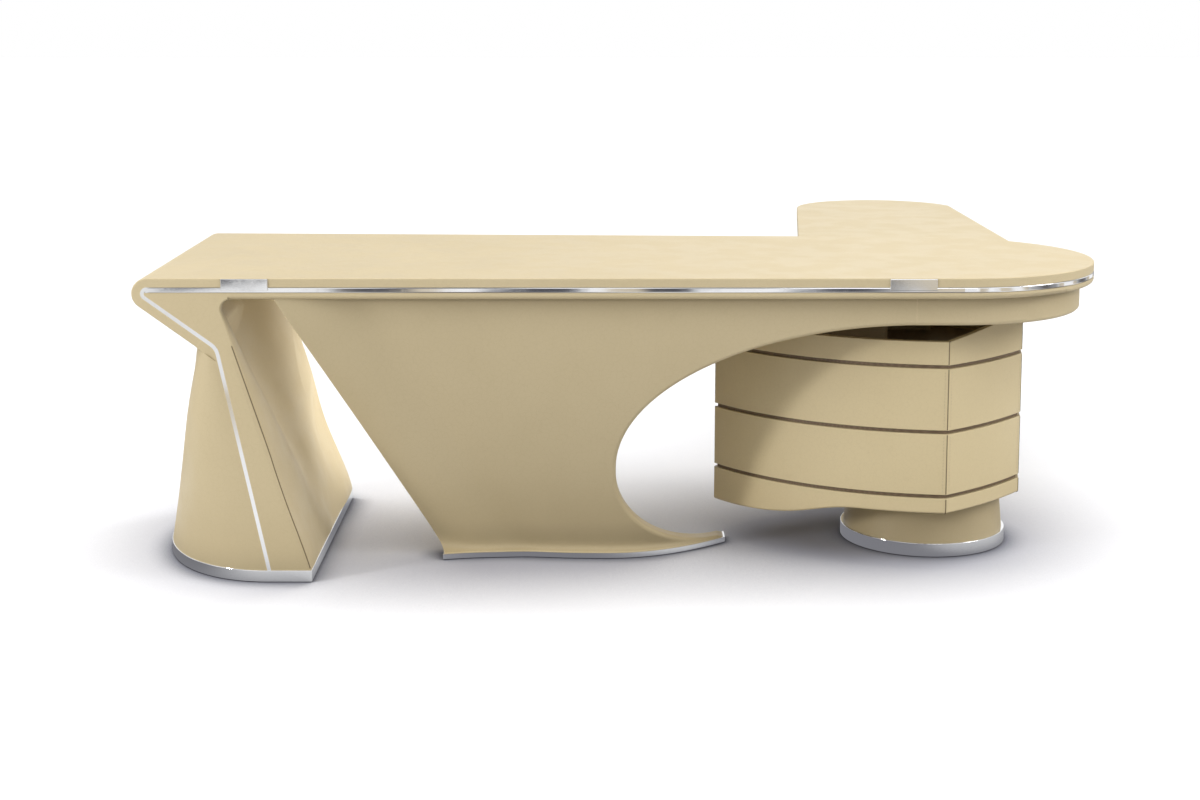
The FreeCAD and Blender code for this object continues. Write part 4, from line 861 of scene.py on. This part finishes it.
floor_corners = [(-FLOOR_HALF, -FLOOR_HALF, 0), (FLOOR_HALF, -FLOOR_HALF, 0),
                 (FLOOR_HALF, FLOOR_HALF, 0), (-FLOOR_HALF, FLOOR_HALF, 0)]
floor_mesh = bpy.data.meshes.new("studio_floor")
floor_mesh.from_pydata(floor_corners, [], [(0, 1, 2, 3)])
floor = add_object("studio_floor", floor_mesh)
floor_material, floor_tree, floor_shader, floor_place = start_material("floor_paint")
floor_mesh.materials.append(floor_material)
floor_ray = put(floor_tree, "ShaderNodeLightPath").outputs
floor_patch = use_group(floor_tree, speckle, Place=floor_place, Grain=FLOOR_GRAIN)["Patch"]
plain = blend_colours(floor_tree, floor_patch, PALE_PAINT, PALER_PAINT)
in_the_open = openness(floor_tree, NEAR_REACH, NEAR_AIR)
shaded = blend_colours(floor_tree, in_the_open, NEAR_SHADE, plain)
grounded = blend_colours(floor_tree, openness(floor_tree, TOUCH_REACH, TOUCH_AIR), TOUCH_SHADE, shaded)
paint = blend_colours(floor_tree, floor_ray["Is Camera Ray"], RETURNED_PAINT, grounded)
floor_tree.links.new(paint, floor_shader.inputs["Base Color"])
floor_shader.inputs["Roughness"].default_value = FLOOR_ROUGHNESS
floor_shader.inputs["Specular IOR Level"].default_value = FLOOR_SPECULAR
print("floor", FLOOR_HALF * 2, "m across")

# %% [markdown]
# The floor in the metal
#
# What the chrome shows of the floor is made apart from the paint, as a painted reflection: a floor that glows
# for reflected rays, bright, with dark flags, with warm ones some metres out, and with painted shade close to
# the desk, where the desk itself would shade it. Reflected rays get this floor, and all other rays get the
# paint.
# Two floors would do the same, but then they would fight for the same place.

# %% Floor for reflected rays
WHITE = (1, 1, 1, 1)
FLAG_DARK = (0.09, 0.09, 0.10, 1)
FLAG_WARM = (0.62, 0.53, 0.38, 1)
WARM_FLAGS = {"count": 27, "drift": 7.0, "start": 2.0}
WARM_EDGE = (0.1, 0.6)
WARM_STRENGTH = 0.85
FLAGS_BEGIN = (2.6, 3.6)
FLOOR_FLAG_DEPTH = 0.9
PAINTED_SHADE_UNDER_DESK = (0.22, 0.22, 0.24, 1)

distance = put(floor_tree, "ShaderNodeVectorMath", {0: floor_place}, operation="LENGTH").outputs["Value"]
far_out = remap(floor_tree, distance, FLAGS_BEGIN, WHOLE)
warm_wave = flag_wave(floor_tree, floor_place, **WARM_FLAGS)
warm_share = remap(floor_tree, warm_wave, WARM_EDGE, (0.0, WARM_STRENGTH))
warm = math_node(floor_tree, "MULTIPLY", warm_share, far_out)
warmed = blend_colours(floor_tree, warm, WHITE, FLAG_WARM)
floor_flags = use_group(floor_tree, dark_flags, Place=floor_place, Far=far_out, Depth=FLOOR_FLAG_DEPTH)
darkened = math_node(floor_tree, "MAXIMUM", floor_flags["Mask"], wedge_mask(floor_tree, floor_place))
flagged = blend_colours(floor_tree, darkened, warmed, FLAG_DARK)
# Painted shade in the reflection: the reflected floor is dimmed where something stands close over it.
painted_floor_reflection = blend_colours(floor_tree, in_the_open, PAINTED_SHADE_UNDER_DESK, flagged)
# The floor glows for reflected rays: a painted reflection, not a lamp.
glowing_floor_reflection = put(floor_tree, "ShaderNodeEmission", {"Color": painted_floor_reflection}).outputs[0]
either = {0: floor_ray["Is Glossy Ray"], 1: floor_shader.outputs[0], 2: glowing_floor_reflection}
floor_surface = put(floor_tree, "ShaderNodeMixShader", either).outputs[0]
floor_tree.links.new(floor_surface, floor_tree.nodes["Material Output"].inputs["Surface"])
print("flags from", FLAGS_BEGIN[0], "m out")

# %% [markdown]
# Softboxes
#
# A small softbox stands low on the left: it makes the leg the brightest of the upright faces and throws the
# edge of the front panel's curve on the cabinet as a slanting shadow, so its height and bearing follow from
# where that shadow falls. A larger one on the right opens up the other side of the cabinet, a faint one near
# the camera lifts the shadows, and a small lamp behind the front panel lights the inner side of the leg. A
# real lamp there would be seen, so it is hidden from the camera and from reflections.

# %% Softboxes
INNER_SPREAD = math.radians(70)


def softbox(name, place, target, size, watts):
    """A rectangular lamp that stands at a place and is turned to a target."""
    data = bpy.data.lights.new(name, "AREA")
    data.shape = "RECTANGLE"
    data.size, data.size_y = size
    data.energy = watts
    lamp = add_object(name, data)
    lamp.location = place
    lamp.rotation_euler = (Vector(target) - Vector(place)).to_track_quat("-Z", "Y").to_euler()
    return lamp


softbox("key_softbox", place=(-4.9, -3.55, 1.6), target=(0.2, -0.7, 0.35), size=(0.7, 0.7), watts=102)
softbox("fill_softbox", place=(1.6, -5.4, 2.0), target=(0.0, -0.7, 0.35), size=(1.6, 1.6), watts=15)
softbox("right_softbox", place=(4.3, -2.0, 2.4), target=(0.3, -0.7, 0.35), size=(1.6, 1.4), watts=56)
inner_lamp = softbox("inner_softbox", place=(-0.20, 0.06, 0.42), target=(-0.86, -0.45, 0.30),
                     size=(0.30, 0.40), watts=1.8)
inner_lamp.data.spread = INNER_SPREAD
inner_lamp.visible_camera = False
inner_lamp.visible_glossy = False

# %% [markdown]
# Dome
#
# Much of the light comes from a dome that is bright overhead and dim at the horizon, and lights the floor
# evenly to its far edge. The camera sees plain white instead, as the picture shows behind the desk, and
# reflected rays see a bright sky with the floor's dark flags, of which the narrow ones fade towards the top.

# %% Dome
DOME_COLOUR = (0.985, 0.99, 1.0, 1)
DOME_OVERHEAD = 2.0
DOME_HORIZON = 0.16
DOME_RISE = (0.25, 0.95)
GLOSS_SKY = (1.1, 1.1, 1.1, 1)
SKY_FLAGS_END = (0.35, 0.75)
SKY_FLAG_DEPTH = 0.55

world = bpy.data.worlds.new("studio_world")
scene.world = world
world.use_nodes = True
sky = world.node_tree
sky.nodes.clear()
direction = put(sky, "ShaderNodeTexCoord").outputs["Generated"]
height = put(sky, "ShaderNodeSeparateXYZ", {0: direction}).outputs["Z"]
strength = remap(sky, height, DOME_RISE, (DOME_HORIZON, DOME_OVERHEAD))
dome = put(sky, "ShaderNodeBackground", {"Color": DOME_COLOUR, "Strength": strength}).outputs[0]
low_sky = remap(sky, height, SKY_FLAGS_END, (1.0, 0.0))
sky_flags = use_group(sky, dark_flags, Place=direction, Far=low_sky, Depth=SKY_FLAG_DEPTH)
gloss_colour = blend_colours(sky, sky_flags["Mask"], GLOSS_SKY, FLAG_DARK)
in_gloss = put(sky, "ShaderNodeBackground", {"Color": gloss_colour}).outputs[0]
white = put(sky, "ShaderNodeBackground", {"Color": WHITE}).outputs[0]
sky_ray = put(sky, "ShaderNodeLightPath").outputs
indirect = put(sky, "ShaderNodeMixShader", {0: sky_ray["Is Glossy Ray"], 1: dome, 2: in_gloss}).outputs[0]
shown = put(sky, "ShaderNodeMixShader", {0: sky_ray["Is Camera Ray"], 1: indirect, 2: white}).outputs[0]
put(sky, "ShaderNodeOutputWorld", {"Surface": shown})
print("world", world.name)
